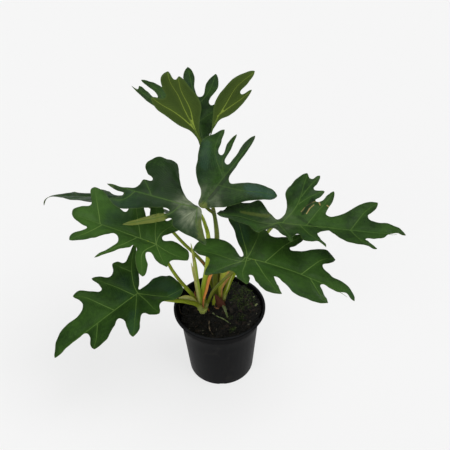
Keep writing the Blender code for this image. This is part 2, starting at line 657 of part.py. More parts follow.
def join(name, meshes, look):
    """Joins closed meshes into one body by a Boolean union."""
    first = add(name, meshes[0], look)
    group = bpy.data.collections.new(name + "_parts")
    for k, mesh in enumerate(meshes[1:]):
        part = bpy.data.objects.new(f"{name}_part_{k}", mesh)
        group.objects.link(part)
    union = first.modifiers.new("union", "BOOLEAN")
    union.operation = "UNION"
    union.solver = "EXACT"
    union.operand_type = "COLLECTION"
    union.collection = group
    shown = first.evaluated_get(bpy.context.evaluated_depsgraph_get())
    whole = bpy.data.meshes.new_from_object(shown)
    whole.name = name
    first.modifiers.clear()
    first.data = whole
    for part in list(group.objects):
        bpy.data.objects.remove(part, do_unlink=True)
    bpy.data.collections.remove(group)
    return first


def make_plant():
    """The two crowns with their stubs, the petioles, the sheaths and the blades."""
    stubs = {name: [] for name in CROWNS}
    for name, (crown, stalk) in PETIOLES.items():
        stub, rest = stalk_parts(stalk, seat_of(LEAVES[name], stalk))
        stubs[crown].append(tube(name + "_stub", *stub, stalk.flat))
        add(name + "_petiole", tube(name + "_petiole", *rest, stalk.flat), PETIOLE_LOOK)
    for name, (crown, stalk) in SHEATHS.items():
        stub, rest = stalk_parts(stalk)
        stubs[crown].append(tube(name + "_stub", *stub, stalk.flat))
        add(name, tube(name, *rest, stalk.flat), LOOKS[name])
    for name, place in CROWNS.items():
        body = crown_body("crown_" + name, place)
        join("crown_" + name, [body] + stubs[name], CROWN_LOOK)
    for name, leaf in LEAVES.items():
        make_blade(name + "_blade", leaf)


def ground_height(ground, spot, reach):
    """The highest point of the mix within reach of a spot, in millimetres."""
    heights = []
    for share in (0, 0.5, 1):
        for angle in np.linspace(0, math.tau, 8, endpoint=False):
            x = spot[0] + share * reach * math.cos(angle)
            y = spot[1] + share * reach * math.sin(angle)
            hit = ground.ray_cast(Vector((x * MM, y * MM, POT_HEIGHT)), Vector((0, 0, -1)))
            heights.append(hit[0].z / MM)
    return max(heights)


def make_bits(soil):
    """The loose bits: each lies along the mix, a hair above its bumps, or leans on the pot's wall."""
    ground = BVHTree.FromObject(soil, bpy.context.evaluated_depsgraph_get())
    for name, bit in BITS.items():
        lying = len(bit.route[0]) == 2
        line, _, marks = spline([(*spot, 0) if lying else spot for spot in bit.route], BIT_STEP)
        radii = bit.foot + (bit.top - bit.foot) * marks / marks[-1]
        for spot, radius in zip(line, radii):
            if lying:
                height = ground_height(ground, spot, radius + BIT_STEP / 2)
                spot[2] = height + radius * bit.flat + CLEAR / MM
        add(name, tube(name, line, ways_along(line), radii, bit.flat, (0, 0, 1)), LOOKS[name])


def main():
    clear_scene()
    make_pot()
    soil = make_soil()
    make_bits(soil)
    make_plant()


main()
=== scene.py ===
"""A potted lacy tree philodendron, dressed for a picture.

Run as a script, it adds the plant to the open scene: a nursery pot, a chunky potting mix with moss,
two crowns, and eight lobed leaves on their stalks. The tables hold millimetres and degrees. The
meshes are made in metres, with +Z up and the front towards -Y.
"""
import heapq
import math
from typing import NamedTuple

import bmesh
import bpy
import numpy as np
from bpy.props import FloatProperty, FloatVectorProperty, IntProperty, PointerProperty
from bpy.types import Operator, Panel, PropertyGroup
from mathutils import Matrix, Vector, noise
from mathutils.geometry import delaunay_2d_cdt


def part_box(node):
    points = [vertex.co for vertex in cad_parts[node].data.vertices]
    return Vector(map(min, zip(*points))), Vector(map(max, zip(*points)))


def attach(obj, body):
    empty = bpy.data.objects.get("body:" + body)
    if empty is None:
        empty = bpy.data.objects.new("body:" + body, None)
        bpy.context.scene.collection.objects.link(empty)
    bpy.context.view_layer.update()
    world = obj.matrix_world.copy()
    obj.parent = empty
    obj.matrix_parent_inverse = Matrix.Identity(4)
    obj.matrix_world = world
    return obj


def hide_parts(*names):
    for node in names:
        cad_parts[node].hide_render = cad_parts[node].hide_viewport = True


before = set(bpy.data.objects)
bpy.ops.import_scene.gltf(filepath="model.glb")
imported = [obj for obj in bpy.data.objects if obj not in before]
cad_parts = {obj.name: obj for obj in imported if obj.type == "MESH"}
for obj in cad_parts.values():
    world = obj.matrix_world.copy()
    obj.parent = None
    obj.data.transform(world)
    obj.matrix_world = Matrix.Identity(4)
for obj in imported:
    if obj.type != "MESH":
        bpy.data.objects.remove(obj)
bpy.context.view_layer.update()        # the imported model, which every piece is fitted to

bl_info = {
    "name": "Potted lacy tree philodendron",
    "version": (1, 0, 0),
    "blender": (4, 5, 0),
    "location": "View3D > Sidebar > Plant",
    "description": "Builds a nursery pot with a lacy tree philodendron and a plain studio",
    "category": "Add Mesh",
}

MM = 0.001

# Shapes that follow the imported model. Lengths in millimetres, angles in degrees.
FOLD_ROUND = 6.0
TIP_ROUND = 0.45
LIFT_SHARE = 0.8
HOOK_START = 0.9
WAVE_RUN = 9.0
WAVE_SHIFT = 2.2
WAVE_START = 12.0
WAVE_RISE = 30.0
BEND_STEPS = 64
SLOPE_STEP = 0.4
COLLAR_HEIGHT = 22.0
COLLAR_STEP = 1.5
BODY_TOP_RADIUS = 55.5
FOOT_RADIUS = 47.0
SOIL_TOP = 99.0
SOIL_RELIEF = 1.6
SOIL_RADIUS = 53.0
HEAP = 3.0
HEAP_REACH = 15.0
CROWNS = {"front": (-24, 1), "back": (0, 20)}

# Waves in the mix's top: radians for each metre along X and along Y, then a phase and a share
SOIL_WAVES = [(210, 180, 1.0, 0.5), (210, -180, 1.0, 0.5), (390, -330, 2.0, 0.6),
              (120, 450, 1.6, 0.4)]


def tip(x, y):
    """A point of a leaf's edge where the edge turns sharply."""
    return (x, y, True)


class Leaf(NamedTuple):
    """One leaf: its pose, its flat edge with the midrib along +Y, and how that pattern bends.

    Fold raises both sides at the base and at the tip, hook turns the end of the midrib down, back
    raises what lies behind the joint, lift raises one basal lobe, and wave is how far the sides
    wave up and down. Seat is the spot of the pattern that the petiole meets.
    """
    joint: tuple
    heading: float
    length: float
    pitch: float
    roll: float
    droop: float
    fold: tuple
    edge: list
    seat: tuple = (0, 1)
    hook: float = 0.0
    back: float = 0.0
    back_run: float = 20.0
    lift: float = 0.0
    lift_tip: tuple = (20, -60)
    lift_width: float = 45.0
    wave: float = 1.5


class Stalk(NamedTuple):
    """A petiole or a loose bit: its route, and its radii at foot and top."""
    route: list
    foot: float
    top: float


class Strip(NamedTuple):
    """A cupped strip of sheath: its look, and its route with a width at each point.

    It also has how far it is cupped, the way that it faces and how far it twists.
    """
    look: str
    route: list
    cup: float
    facing: tuple
    twist: float = 0.0


class Look(NamedTuple):
    """How a leaf looks: first its blade, then its petiole.

    Tone is the blade's lean from the dark green to the light one, ruffle the waving of its edge,
    veins their brightness and sheen the grey by its joint. Stalk is the petiole's lean from fresh
    green to brownish green, then comes the share of painted shade that darkens it towards its leaf,
    and thicker how much thicker than its plain solid it looks.
    """
    tone: float
    ruffle: float
    veins: float
    sheen: float
    stalk: float
    # The share of painted shade that darkens the petiole towards its leaf
    far_shade: float
    thicker: float


class Scatter(NamedTuple):
    """How loose grains are sized: the smallest, the largest, and their length and height for that.

    It also has how far they tilt, and how rough they are.
    """
    smallest: float
    largest: float
    length: float
    height: float
    tilt: float
    rough: float


LEAVES = {
    "top": Leaf((-14, 60, 347), 100, 125, 30, 0, -10, (10, 5), [
        (1, -4), (-1, -14), (-5, -32), (-3, -50), (0, -64), (-3, -76), (-11, -88), tip(-24, -104),
        (-29, -100), tip(-37, -111), (-46, -105), (-46, -92), (-43, -79), tip(-61, -80), (-56, -66),
        (-46, -57), (-30, -43), (-17, -35), (-9, -25), (-6, -13), (-4, -4), (-7, 8), (-14, 19),
        (-28, 28), (-40, 39), (-52, 56), (-64, 69), (-71, 78), tip(-80, 94), (-73, 87),
        tip(-70, 93), (-61, 83), (-49, 73), (-51, 82), (-58, 90), tip(-66, 105), (-56, 102),
        (-42, 91), (-30, 74), (-17, 67), (-9, 90), (-9, 108), tip(0, 125), (6, 108), (3, 84),
        (8, 70), (20, 91), tip(35, 103), (35, 84), (19, 54), (32, 56), tip(46, 60), (36, 42),
        (19, 20), (9, 8), (6, -4), (7, -18), (13, -34), (22, -44), (36, -48), (50, -56),
        tip(68, -76), (53, -73), (64, -86), tip(73, -99), (57, -98), (43, -93), (29, -81),
        (18, -68), (14, -52), (11, -36), (4, -15),
    ], seat=(1, 0), back=135),
    "upper": Leaf((-16, -22, 309), 48.2, 119, 24, 42, -10, (5, 5), [
        (2, -4), (-4, -3), (-8, 6), (-13, 13), (-24, 19), (-34, 28), (-41, 41), (-46, 51),
        (-50, 60), (-49, 70), (-44, 79), tip(-37, 94), (-31, 80), (-21, 65), (-23, 84),
        tip(-21, 102), (-15, 82), (-8, 61), (-5, 74), (-6, 104), tip(-1, 120), (3, 98), (4, 70),
        (10, 45), (19, 52), (30, 62), (45, 71), (60, 75), tip(68, 72), (66, 65), (55, 54),
        (40, 39), (30, 24), (24, 16), (18, 10), (10, 3), (5, -2),
    ]),
    "left_upper": Leaf((-22, -30, 309), 176.9, 111, 20, -30, -5, (-10, -10), [
        (1, -5), (-12, -8), (-26, -14), tip(-42, -21), (-37, -7), (-33, 12), (-29, 24), (-21, 27),
        (-28, 38), (-36, 58), tip(-44, 82), (-32, 66), (-20, 46), (-13, 32), (-14, 52), (-22, 76),
        (-25, 92), tip(-17, 105), (-13, 96), (-7, 89), (-5, 99), tip(0, 112), (1, 94), (4, 81),
        (10, 75), tip(18, 72), (22, 61), (30, 69), (42, 74), (53, 68), (59, 61), (57, 50),
        (58, 43), (55, 36), (42, 31), (20, 23), (8, 13), (4, 5), (3, -1),
    ]),
    "left": Leaf((-74, -47, 269), 169.4, 109, 20, -6, -2, (15, 7), [
        (9, -6), (12, -18), (10, -31), (5, -41), tip(-9, -43), (-21, -25), (-30, -22),
        tip(-40, -21), (-33, -8), (-21, 5), (-48, 0), tip(-71, 1), (-64, 8), (-42, 17), (-18, 25),
        (-24, 28), (-37, 39), (-48, 49), tip(-61, 61), (-43, 53), (-27, 45), (-20, 44), (-9, 50),
        (-14, 60), (-27, 71), (-41, 85), tip(-46, 96), (-34, 97), (-21, 88), (-14, 85), (-11, 93),
        (-6, 104), tip(0, 109), (8, 110), (15, 104), (22, 93), (32, 96), (44, 101), tip(50, 98),
        (50, 88), (40, 74), (30, 57), (28, 50), (36, 48), (50, 52), tip(57, 46), (50, 36),
        (38, 27), (32, 22), (42, 22), (54, 25), tip(64, 22), (60, 13), (48, 6), (35, -1),
        (41, -8), tip(49, -18), (38, -24), (28, -19), (19, -10), (13, -4),
    ]),
    "left_low": Leaf((-106, -40, 181), 211.7, 134, -17, -5, -9, (18, 9), [
        (3, -9), (3, -19), (4, -30), (-8, -46), (-28, -49), tip(-47, -48), (-58, -40),
        tip(-60, -29), (-48, -14), tip(-62, -4), (-54, 5), (-42, 12), (-52, 20), (-66, 28),
        tip(-68, 38), (-50, 38), (-32, 35), (-20, 40), (-26, 50), (-36, 67), tip(-37, 85),
        (-26, 87), (-12, 82), (-2, 84), (0, 92), (0, 111), tip(0, 134), (8, 129), (18, 120),
        (25, 106), (26, 93), (26, 80), (34, 66), (42, 66), tip(54, 70), (54, 61), (42, 48),
        (34, 36), (43, 34), tip(56, 37), (53, 28), (43, 16), (46, 9), tip(55, 4), (53, -3),
        (46, -9), (52, -20), tip(63, -37), (50, -31), (34, -22), (18, -14), (9, -8), (4, -4),
    ]),
    "front_right": Leaf((35, -50, 246), -15.4, 147, -4, -5, -26, (16, 8), [
        (-1, -4), (-12, -8), (-25, -17), (-39, -24), (-56, -36), (-71, -39), tip(-79, -35),
        (-74, -24), (-58, -10), (-60, -1), tip(-60, 9), (-52, 15), (-42, 26), (-47, 38),
        (-58, 50), tip(-68, 64), (-55, 62), (-43, 56), (-33, 50), (-37, 63), (-46, 77), (-55, 95),
        tip(-50, 109), (-38, 103), (-28, 95), (-20, 108), (-19, 128), (-12, 142), tip(0, 147),
        (-5, 134), (3, 119), (3, 100), (20, 104), tip(42, 110), (49, 101), (52, 86), (52, 66),
        (42, 55), (33, 43), (48, 46), (63, 51), tip(75, 55), (81, 46), (75, 34), (58, 23),
        (46, 16), (62, 17), tip(76, 16), (74, 8), (64, 2), (54, -4), (65, -16), tip(78, -32),
        (66, -35), (40, -37), (22, -42), (20, -54), tip(10, -65), (-7, -65), (-17, -56),
        (-21, -45), (-20, -31), (-12, -17), (-5, -11),
    ]),
    "right": Leaf((78, -18, 275), -9.9, 158, -2, 0, 0, (16, 10), [
        (-5, -2), (-9, 4), (-22, 8), (-36, 7), (-50, 4), (-65, 10), (-79, 19), tip(-84, 29),
        (-76, 34), tip(-84, 46), (-70, 44), (-59, 40), (-58, 46), tip(-60, 54), (-50, 50),
        (-41, 44), (-44, 52), (-54, 58), tip(-63, 66), (-47, 66), (-33, 61), (-21, 59), (-19, 66),
        (-30, 86), (-45, 102), (-53, 113), tip(-52, 123), (-40, 120), (-26, 111), (-18, 120),
        (-17, 138), (-11, 151), tip(-2, 158), (-3, 148), (-1, 138), (9, 131), (17, 119), (16, 109),
        (27, 112), tip(42, 121), (40, 111), (36, 96), (28, 82), (18, 70), (8, 61), (20, 50),
        (36, 54), tip(56, 61), (46, 50), (44, 35), (28, 26), (36, 21), tip(52, 20), (42, 14),
        (32, 5), (21, -4), (31, -13), tip(46, -24), (33, -33), (29, -47), (27, -61),
        tip(17, -77), (4, -73), (-10, -67), (-19, -59), (-23, -45), (-30, -28), (-22, -19),
        (-12, -11),
    ], lift=8),
    "left_back": Leaf((-85, 40, 264), 171, 150, 12, 22, -18, (4, 4), [
        (1, -8), (-6, -22), (-16, -30), tip(-24, -28), (-25, -14), (-16, -2), (-24, 10),
        tip(-31, 24), (-22, 30), (-18, 40), (-26, 50), (-34, 62), tip(-38, 78), (-33, 92),
        tip(-28, 105), (-18, 113), (-10, 122), (-7, 132), (-7, 142), tip(-9, 152), (-1, 144),
        (3, 136), (8, 127), (12, 116), tip(18, 110), (13, 101), (13, 92), (16, 86),
        (26, 86), tip(36, 82), (28, 66), (17, 56), (16, 46), (28, 44), tip(40, 36), (30, 24),
        (18, 14), (17, 4), (26, -6), tip(34, -20), (22, -26), (10, -18), (4, -10),
    ], hook=80, wave=0.8),
}

LOOKS = {
    "top": Look(0.2, 0.6, 0.12, 0.0, 0.9, 0.0, 1.1),
    "upper": Look(0.05, 1.0, 0.12, 0.45, 0.85, 0.0, 1.45),
    "left_upper": Look(-0.1, 1.2, 0.3, 1.0, 0.0, 0.0, 1.4),
    "left": Look(0.85, 0.6, 0.9, 0.0, 0.3, 0.0, 1.05),
    "left_low": Look(0.44, 0.7, 0.85, 0.0, 0.2, 0.0, 1.1),
    "front_right": Look(0.55, 0.8, 1.0, 0.1, 0.85, 0.0, 0.85),
    "right": Look(0.36, 1.1, 0.45, 0.25, 0.15, 0.9, 1.25),
    "left_back": Look(0.25, 0.4, 0.15, 0.2, 0.6, 0.0, 1.05),
}

# Marks on the blades: what they are, the stretch that they follow on the flat pattern, their reach
# and strength. Scars and pale lobes are the leaves' own colours; the dark marks are painted shade
# in creases and folds, and the bluish marks are painted sheen.
MARKS = {
    "right": [("scar", (-42, 48), (-36, 50), 1.1, 0.9), ("scar", (-37, 59), (-35, 61), 1.2, 0.9),
              ("scar", (-33, 42), (-26, 37), 0.7, 0.8), ("scar", (-26, 37), (-18, 34), 0.9, 0.9),
              ("scar", (-40, 44), (-30, 33), 0.6, 0.6), ("scar", (-20, 27), (-27, 31), 0.7, 0.6),
              ("shade", (-41, 40), (-17, 29), 3.2, 0.8), ("shade", (-12, 24), (12, 62), 3.0, 0.5),
              ("shade", (-30, 5), (-62, 28), 6.0, 0.4), ("pale", (-5, -47), (-8, -14), 4.0, 0.4)],
    "left_upper": [("pale", (-24, 40), (-43, 80), 9.0, 0.9),
                   ("pale", (-16, -10), (-30, -15), 9.0, 0.5),
                   ("shade", (4, 2), (30, 40), 4.0, 0.5)],
    "upper": [("pale", (2, -3), (2, 0), 6.0, 0.8), ("blue", (34, 55), (60, 68), 10.0, 0.65),
              ("blue", (-30, 40), (-42, 62), 9.0, 0.35), ("shade", (2, 12), (3, 60), 3.5, 0.6)],
    "front_right": [("blue", (-30, -10), (-66, -26), 12.0, 0.4)],
    "left_low": [("blue", (-20, -34), (-48, -36), 11.0, 0.35),
                 ("blue", (-30, 20), (-56, 34), 9.0, 0.3)],
}

PETIOLES = {
    "top": Stalk([(2, 25, 112), (1, 23, 164), (0, 21, 221), (-3, 25, 261), (-11, 35, 299),
                  (-14, 49, 328)], 3.0, 1.9),
    "upper": Stalk([(-4, 17, 113), (-5, 15, 150), (-2, 10, 205), (0, 5, 236), (-1, -2, 266),
                    (-3, -8, 284), (-8, -15, 295)], 3.0, 1.9),
    "left_upper": Stalk([(-22, 5, 115), (-22, 4, 142), (-14, 1, 194), (-11, -8, 244),
                         (-14, -16, 273), (-18, -24, 294)], 2.8, 1.8),
    "left": Stalk([(-28, 5, 114), (-34, 1, 130), (-43, -4, 151), (-53, -12, 177),
                   (-60, -21, 202), (-65, -32, 228)], 2.8, 1.8),
    "left_low": Stalk([(-27, -4, 116), (-33, -8, 127), (-41, -12, 134), (-50, -17, 142),
                       (-61, -23, 149), (-80, -32, 162)], 3.0, 1.9),
    "front_right": Stalk([(-18, 2, 115), (-14, -4, 131), (-7, -10, 154), (6, -21, 181),
                          (18, -37, 210)], 3.0, 1.9),
    "right": Stalk([(6, 20, 112), (11, 21, 127), (19, 21, 150), (41, 20, 188), (61, 10, 228),
                    (72, -3, 256)], 3.0, 1.9),
    "left_back": Stalk([(-5, 25, 113), (-11, 24, 138), (-18, 25, 168), (-33, 27, 190),
                        (-46, 30, 205), (-60, 35, 222)], 2.8, 1.8),
}

# Veins, in millimetres on the flat pattern. A vein's route is priced: near the edge, at a branch,
# and, for the lobes behind the joint, by its true length.
VEIN_STEP = 2.0
VEIN_REACH = 0.93
VEIN_CELL = 2.5
VEIN_DREAD = 4.0
VEIN_SHY = 2.6
BASAL_SHY = 9.0
BASAL_START = -60.0
BASAL_TOLL = 1.15
MIDRIB_SHARE = 0.5
BRANCH_TOLL = 10.0
VEIN_SMOOTHING = 40
VEIN_TIP = 0.14
VEIN_TAPER = 0.8
APEX_WIDTH = 6.0
APEX_START = 0.9
MIDRIB = 0.95
SIDE_VEIN = 0.62
BRANCH_SHARE = 0.8
SIDE_VEIN_SPAN = 85.0
SHORT_VEIN_EASE = 0.35
VEIN_PROUD = 0.22
VEIN_SIDES = 10

# Blades, in millimetres
VEIN_VALLEY = 9.0
SIDE_VEIN_GAP = 4.4
STEADY_RUN = 7.0
RUFFLE_RUN = 8.5
RUFFLE_BAND = 13.0
MARGIN_BAND = 2.5
MARGIN_THIN = 0.45
SHEEN_REACH = 38.0
PATTERN_SPAN = 400.0
ROW_SHARE = 0.87
CLEAR_SHARE = 0.5

# Where the tints of a blade start and where they are full, in millimetres from a vein, from the
# edge or from the joint
VEIN_HALO = (8.5, 1.0)
VEIN_LINE = (1.4, 0.5)
EDGE_SHADE = (6.0, 1.0)
EDGE_LINE = (1.0, 0.3)
FINE_VEINS = (0.5, 5.0)
UNDER_ROOT = (105.0, 20.0)
UNDER_EDGE = (3.0, 0.6)
TONE_MIDDLE = 0.35

# Stalks and strips, in millimetres
ROOTED = 5.0
STALK_STEP = 2.2
BASE_FLARE = 0.2
BASE_REACH = 14.0
JOINT_FLARE = 0.25
JOINT_REACH = 9.0
JOINT_DEPTH = 0.6
THICK_SHARE = 0.6
NOSE = 11.0
NOSE_RADIUS = 0.9
SPLINE_STEPS = 40
STRIP_POINTS = 9
STRIP_EDGE = 0.35
SHEATH_STEP = 2.0
FLAP_STEP = 1.5
BIT_STEP = 1.2

# Pot and mix, in millimetres
RIM_LIP = 3.5
POT_FLOOR = 3.0
FOOT_ROUND = 1.2
STEP_ROUND = 0.6
DRAIN_RADIUS = 4.0
DRAIN_CIRCLE = 27.0
DRAIN_COUNT = 6
NOTCH_WIDTH = 7.0
NOTCH_DEPTH = 1.5
NOTCH_COUNT = 4
MIX_RADIUS = 55.4
MIX_GAP = 0.6
MIX_RINGS = 62
MIX_SIDES = 180
BANK = 9.0
BANK_TURN = 42.0
BANK_SPAN = 85.0
BANK_EASE = 35.0
BANK_START = 30.0
BANK_FLARE = 0.065
BANK_ROWS = 90
BANK_POINTS = 34
BANK_ROOT = 4.0
BANK_SINK = 0.5
SHEET_POINTS = 60

# Lumps in the mix's top: their height, their run and the layer of the noise that makes them
MIX_LUMPS = [(1.1, 5.0, 3), (0.55, 1.9, 9)]

# Heights at which the pot's collar roughens and darkens with painted shade, and its lip pales
# with a painted highlight, in metres
COLLAR_SHADE = (0.089, 0.100)
LIP_HIGHLIGHT = (0.1138, 0.1146)

# What lies on the mix: the sizes of its grains in millimetres, and how fine their roughness is
CRUMB_SIZES = Scatter(0.5, 2.3, 1.3, 0.7, 0.5, 1.6)
CHIP_SIZES = Scatter(1.2, 3.6, 1.7, 0.38, 0.45, 1.8)
MOSS_SIZES = Scatter(0.7, 1.6, 0.8, 2.2, 0.9, 1.0)
GRAIN_SCALE = 330.0

# Patches of moss: their places on the mix and their reach, then how ragged they are
MOSS_PATCHES = [(26, 26, 13), (38, 12, 11), (16, 44, 9), (38, 34, 11), (30, -10, 7), (18, -32, 6),
                (-8, 40, 6), (15, -10, 5)]
MOSS_EDGE = 1.25
MOSS_RAGGED = 0.35
MOSS_RUN = 6.0

# Small seeds on the mix: where they lie and their length, then their girth as a share of it
SEEDS = [(50, 6, 5.6), (47, 20, 3.2), (-34, 11, 1.6), (22, -30, 1.6)]
SEED_GIRTH = 0.3
SEED_TIP = 0.05
SEED_POINTS = 9
SEED_SIDES = 10

# Crowns: a buried neck, then the outline of the knuckle above the mix
CROWN_RADIUS = 6.0
CROWN_DEPTH = 20.0
CROWN_OUTLINE = [(6, 6), (8.5, 9), (7.7, 11), (4.3, 13.5), (0, 14.5)]
CROWN_STEP = 0.5
CROWN_SIDES = 56
CROWN_RIDGE = 0.35
CROWN_RINGS = 1.15
CROWN_LUMP = 0.10
CROWN_RUN = 3.2
CROWN_SQUASH = 1.6
FOOT_REACH = 14.0

# Brown scales round the crowns: the crown, the way out in degrees, height and width. Each leans
# out and in again as it climbs: how far from the crown's axis, at which share of its height.
SCALES = {
    "scale_right": ("back", -15, 15, 7.0),
    "scale_back": ("back", 100, 19, 8.0),
    "scale_left": ("back", 170, 12, 6.5),
    "scale_side": ("front", 20, 11, 5.0),
}
SCALE_LEAN = ((7.5, 0.1), (9.0, 0.45), (8.2, 0.8), (6.6, 1.0))
SCALE_CUP = 95
SCALE_TIP = 0.7
SCALE_THICK = 0.5

# The stage: each light's turn about Z, its height and its spread, in degrees
LIGHTS = {"key": (68, 62, 45), "fill": (-25, 28, 60), "back": (175, 55, 70)}
FLOOR_RADIUS = 9.0
FLOOR_SIDES = 96
CAMERA_PLACE = (0.011, -0.713, 0.814)
CAMERA_DOWN = 37.9
CAMERA_ROLL = -1.6


SHEATHS = {
    "sheath_pale": Strip("old", [(-26, -2, 113, 4.4), (-28, -4, 140, 6.8), (-30, -6, 172, 7.4),
                                 (-31, -7, 203, 5.6), (-34, -9, 237, 0.9)],
                         110, (0.3, -1, 0.2), -25),
    "sheath_dry": Strip("dried", [(-23, -4, 112, 2.4), (-22, -7, 132, 3.0), (-17, -9, 154, 4.0),
                                  (-13, -11, 174, 4.8), (-8, -13, 190, 4.0)],
                        130, (-0.2, -1, 0.3), 30),
    "sheath_broad": Strip("fresh", [(2, 12, 112, 5.0), (2, 9, 135, 6.0), (4, 7, 147, 8.0),
                                    (7, 4, 159, 11.5), (11, 1, 176, 15.5)],
                          90, (0.1, -1, 0.2), 10),
}

# Thin flaps of old sheath on the stalks and at their feet, and a pale strip of painted highlight
# along the right petiole
FLAPS = {
    "flap_brown": Strip("brown", [(4, 10, 100, 8), (3, 7.6, 106, 11), (1.4, 6.2, 112, 12),
                                  (-0.8, 5.4, 119, 9.5), (-3.4, 5.0, 126, 6), (-6, 5.2, 132, 1.2)],
                        130, (0.1, -1, 0.1), 12),
    "flap_rim": Strip("pink", [(-7, 9.5, 103, 1.0), (-4.6, 7.6, 102, 2.4), (-1.6, 7, 101.6, 2.0),
                               (1, 7.6, 101, 0.8)], 90, (0, -0.7, 1)),
    "flap_bud": Strip("lime", [(-8.7, 12, 101, 1.8), (-8.8, 10.8, 106, 3.6), (-8, 10.4, 114, 4.6),
                               (-6.6, 11, 123, 1.6)], 150, (-0.2, -1, 0.1)),
    "flap_left_low": Strip("cream", [(-31, -5, 126.5, 2.0), (-38, -7.5, 136, 6.5),
                                     (-46, -12, 144, 6.0), (-55, -18, 149, 1.0)],
                           60, (-0.2, -1, 0.7)),
    "flap_left_back": Strip("red", [(-16.5, 22.5, 169, 0.8), (-18.5, 22.3, 172.5, 2.2),
                                    (-21.5, 22.2, 177, 2.3), (-25, 22.4, 182, 0.6)],
                            90, (0.5, -1, 0.4)),
    # A pale strip that stands in for the bright streak on the right petiole: a painted highlight
    "flap_right": Strip("white", [(8.5, 17.2, 120, 0.8), (11.5, 17, 130, 2.2), (15, 17, 143, 2.4),
                                  (19.5, 17.6, 156, 0.8)], 100, (0.6, -1, 0.1)),
    "flap_broad": Strip("lime", [(11, 13, 148, 1.0), (13.2, 14, 155, 5.0), (15.6, 15, 162, 7.0),
                                 (17.6, 16, 168, 6.0), (19, 17, 172, 1.0)], 90, (0.2, -1, 0.2)),
    "flap_pale": Strip("cream", [(-31.5, -6.5, 165, 1.5), (-33, -6.5, 178, 2.6),
                                 (-34.2, -6.6, 190, 2.4), (-35.6, -6.8, 202, 0.5)],
                       90, (-0.2, -1, 0.1)),
    "flap_thin": Strip("red", [(-31, -1, 118, 1.2), (-33, -1.5, 130, 2.0), (-33.5, -2, 140, 1.4),
                               (-34, -2, 146, 0.6)], 120, (-0.2, -1, 0.2)),
}

# Loose bits on the mix. A point without a height lies at its node's middle. Their girth wobbles,
# and a bit of bark is a strip that is wider than it is thick.
BITS = {
    "root_pale": Stalk([(-15, -17), (-15, -26), (-14, -35), (-10, -43)], 1.1, 0.7),
    "twig_green": Stalk([(-10, -1), (-3, -8), (6, -14), (15, -23)], 0.9, 0.7),
    "stub_green": Stalk([(6, 11), (8, 3), (11, -11)], 2.4, 1.3),
    "bark_left": Stalk([(-53, -3, 101.6), (-56.3, 0, 103.6), (-57.5, 5, 107.2), (-58.3, 10, 111)],
                       0.9, 0.7),
    "bark_right": Stalk([(15, 8), (17, 3), (17, -2)], 2.4, 1.7),
}
BIT_WOBBLE = 0.25
BIT_RUN = 2.2
BIT_SIDES = 14
BARK_WIDER = 2.3
BARK_CUP = 20
BARK_THICK = 2.0


def smooth_step(t):
    t = np.clip(t, 0, 1)
    return t * t * (3 - 2 * t)


def unit(vectors):
    """Vectors brought to unit length, along the last axis."""
    vectors = np.asarray(vectors, float)
    return vectors / np.maximum(np.linalg.norm(vectors, axis=-1, keepdims=True), 1e-9)


def turn(points, pivot, axis, angle):
    """Points turned about an axis by an angle each, in radians."""
    axis = np.asarray(axis, float) / np.linalg.norm(axis)
    offset = points - pivot
    c = np.cos(angle)[:, None]
    s = np.sin(angle)[:, None]
    along = axis * (offset @ axis)[:, None]
    return pivot + offset * c + np.cross(axis, offset) * s + along * (1 - c)


def bend(flat, leaf):
    """Takes points of a leaf's flat pattern, in millimetres, to their places in the room."""
    flat = np.asarray(flat, float).reshape(-1, 2)
    points = np.column_stack([flat, np.zeros(len(flat))])
    if leaf.lift:
        reach = np.hypot(*leaf.lift_tip)
        out = np.array(leaf.lift_tip) / reach
        side = np.array([out[1], -out[0]])
        across = np.abs(flat @ side) - leaf.lift_width
        share = smooth_step(flat @ out / (LIFT_SHARE * reach))
        share = share * (1 - smooth_step(across * 2 / leaf.lift_width))
        points = turn(points, np.zeros(3), [*side, 0], np.radians(leaf.lift) * share)
    x, y, height = points.T
    steps = (np.arange(BEND_STEPS) + 0.5) / BEND_STEPS

    def slope(s):
        share = np.clip(s / leaf.length, 0, None)
        hook = leaf.hook * smooth_step((share - HOOK_START) / (1 - HOOK_START))
        behind = leaf.back * smooth_step(-s / leaf.back_run)
        return np.radians(leaf.pitch + leaf.droop * share - hook - behind)

    path = slope(y[:, None] * steps)
    run = np.cos(path).mean(1) * y
    rise = np.sin(path).mean(1) * y
    here = slope(y)
    base, end = leaf.fold
    fold = np.radians(base + (end - base) * smooth_step(y / leaf.length))
    wide = np.abs(x)
    sweep = fold[:, None] * smooth_step(wide[:, None] * steps / FOLD_ROUND)
    lean = fold * smooth_step(wide / FOLD_ROUND)
    right = (np.cos(sweep).mean(1) * wide - height * np.sin(lean)) * np.sign(x)
    wavy = leaf.wave * np.sin(y / WAVE_RUN + WAVE_SHIFT * np.sign(x))
    wavy = wavy * smooth_step((wide - WAVE_START) / WAVE_RISE)
    up = np.sin(sweep).mean(1) * wide + height * np.cos(lean) + wavy
    local = np.column_stack([right, run - up * np.sin(here), rise + up * np.cos(here)])
    pitch = math.radians(leaf.pitch)
    roll = np.full(len(local), math.radians(leaf.roll))
    local = turn(local, np.zeros(3), [0, math.cos(pitch), math.sin(pitch)], roll)
    heading = math.radians(leaf.heading)
    forward = np.array([math.cos(heading), math.sin(heading), 0])
    across = np.array([math.sin(heading), -math.cos(heading), 0])
    place = local[:, :1] * across + local[:, 1:2] * forward + local[:, 2:] * np.array([0, 0, 1.0])
    return np.array(leaf.joint, float) + place


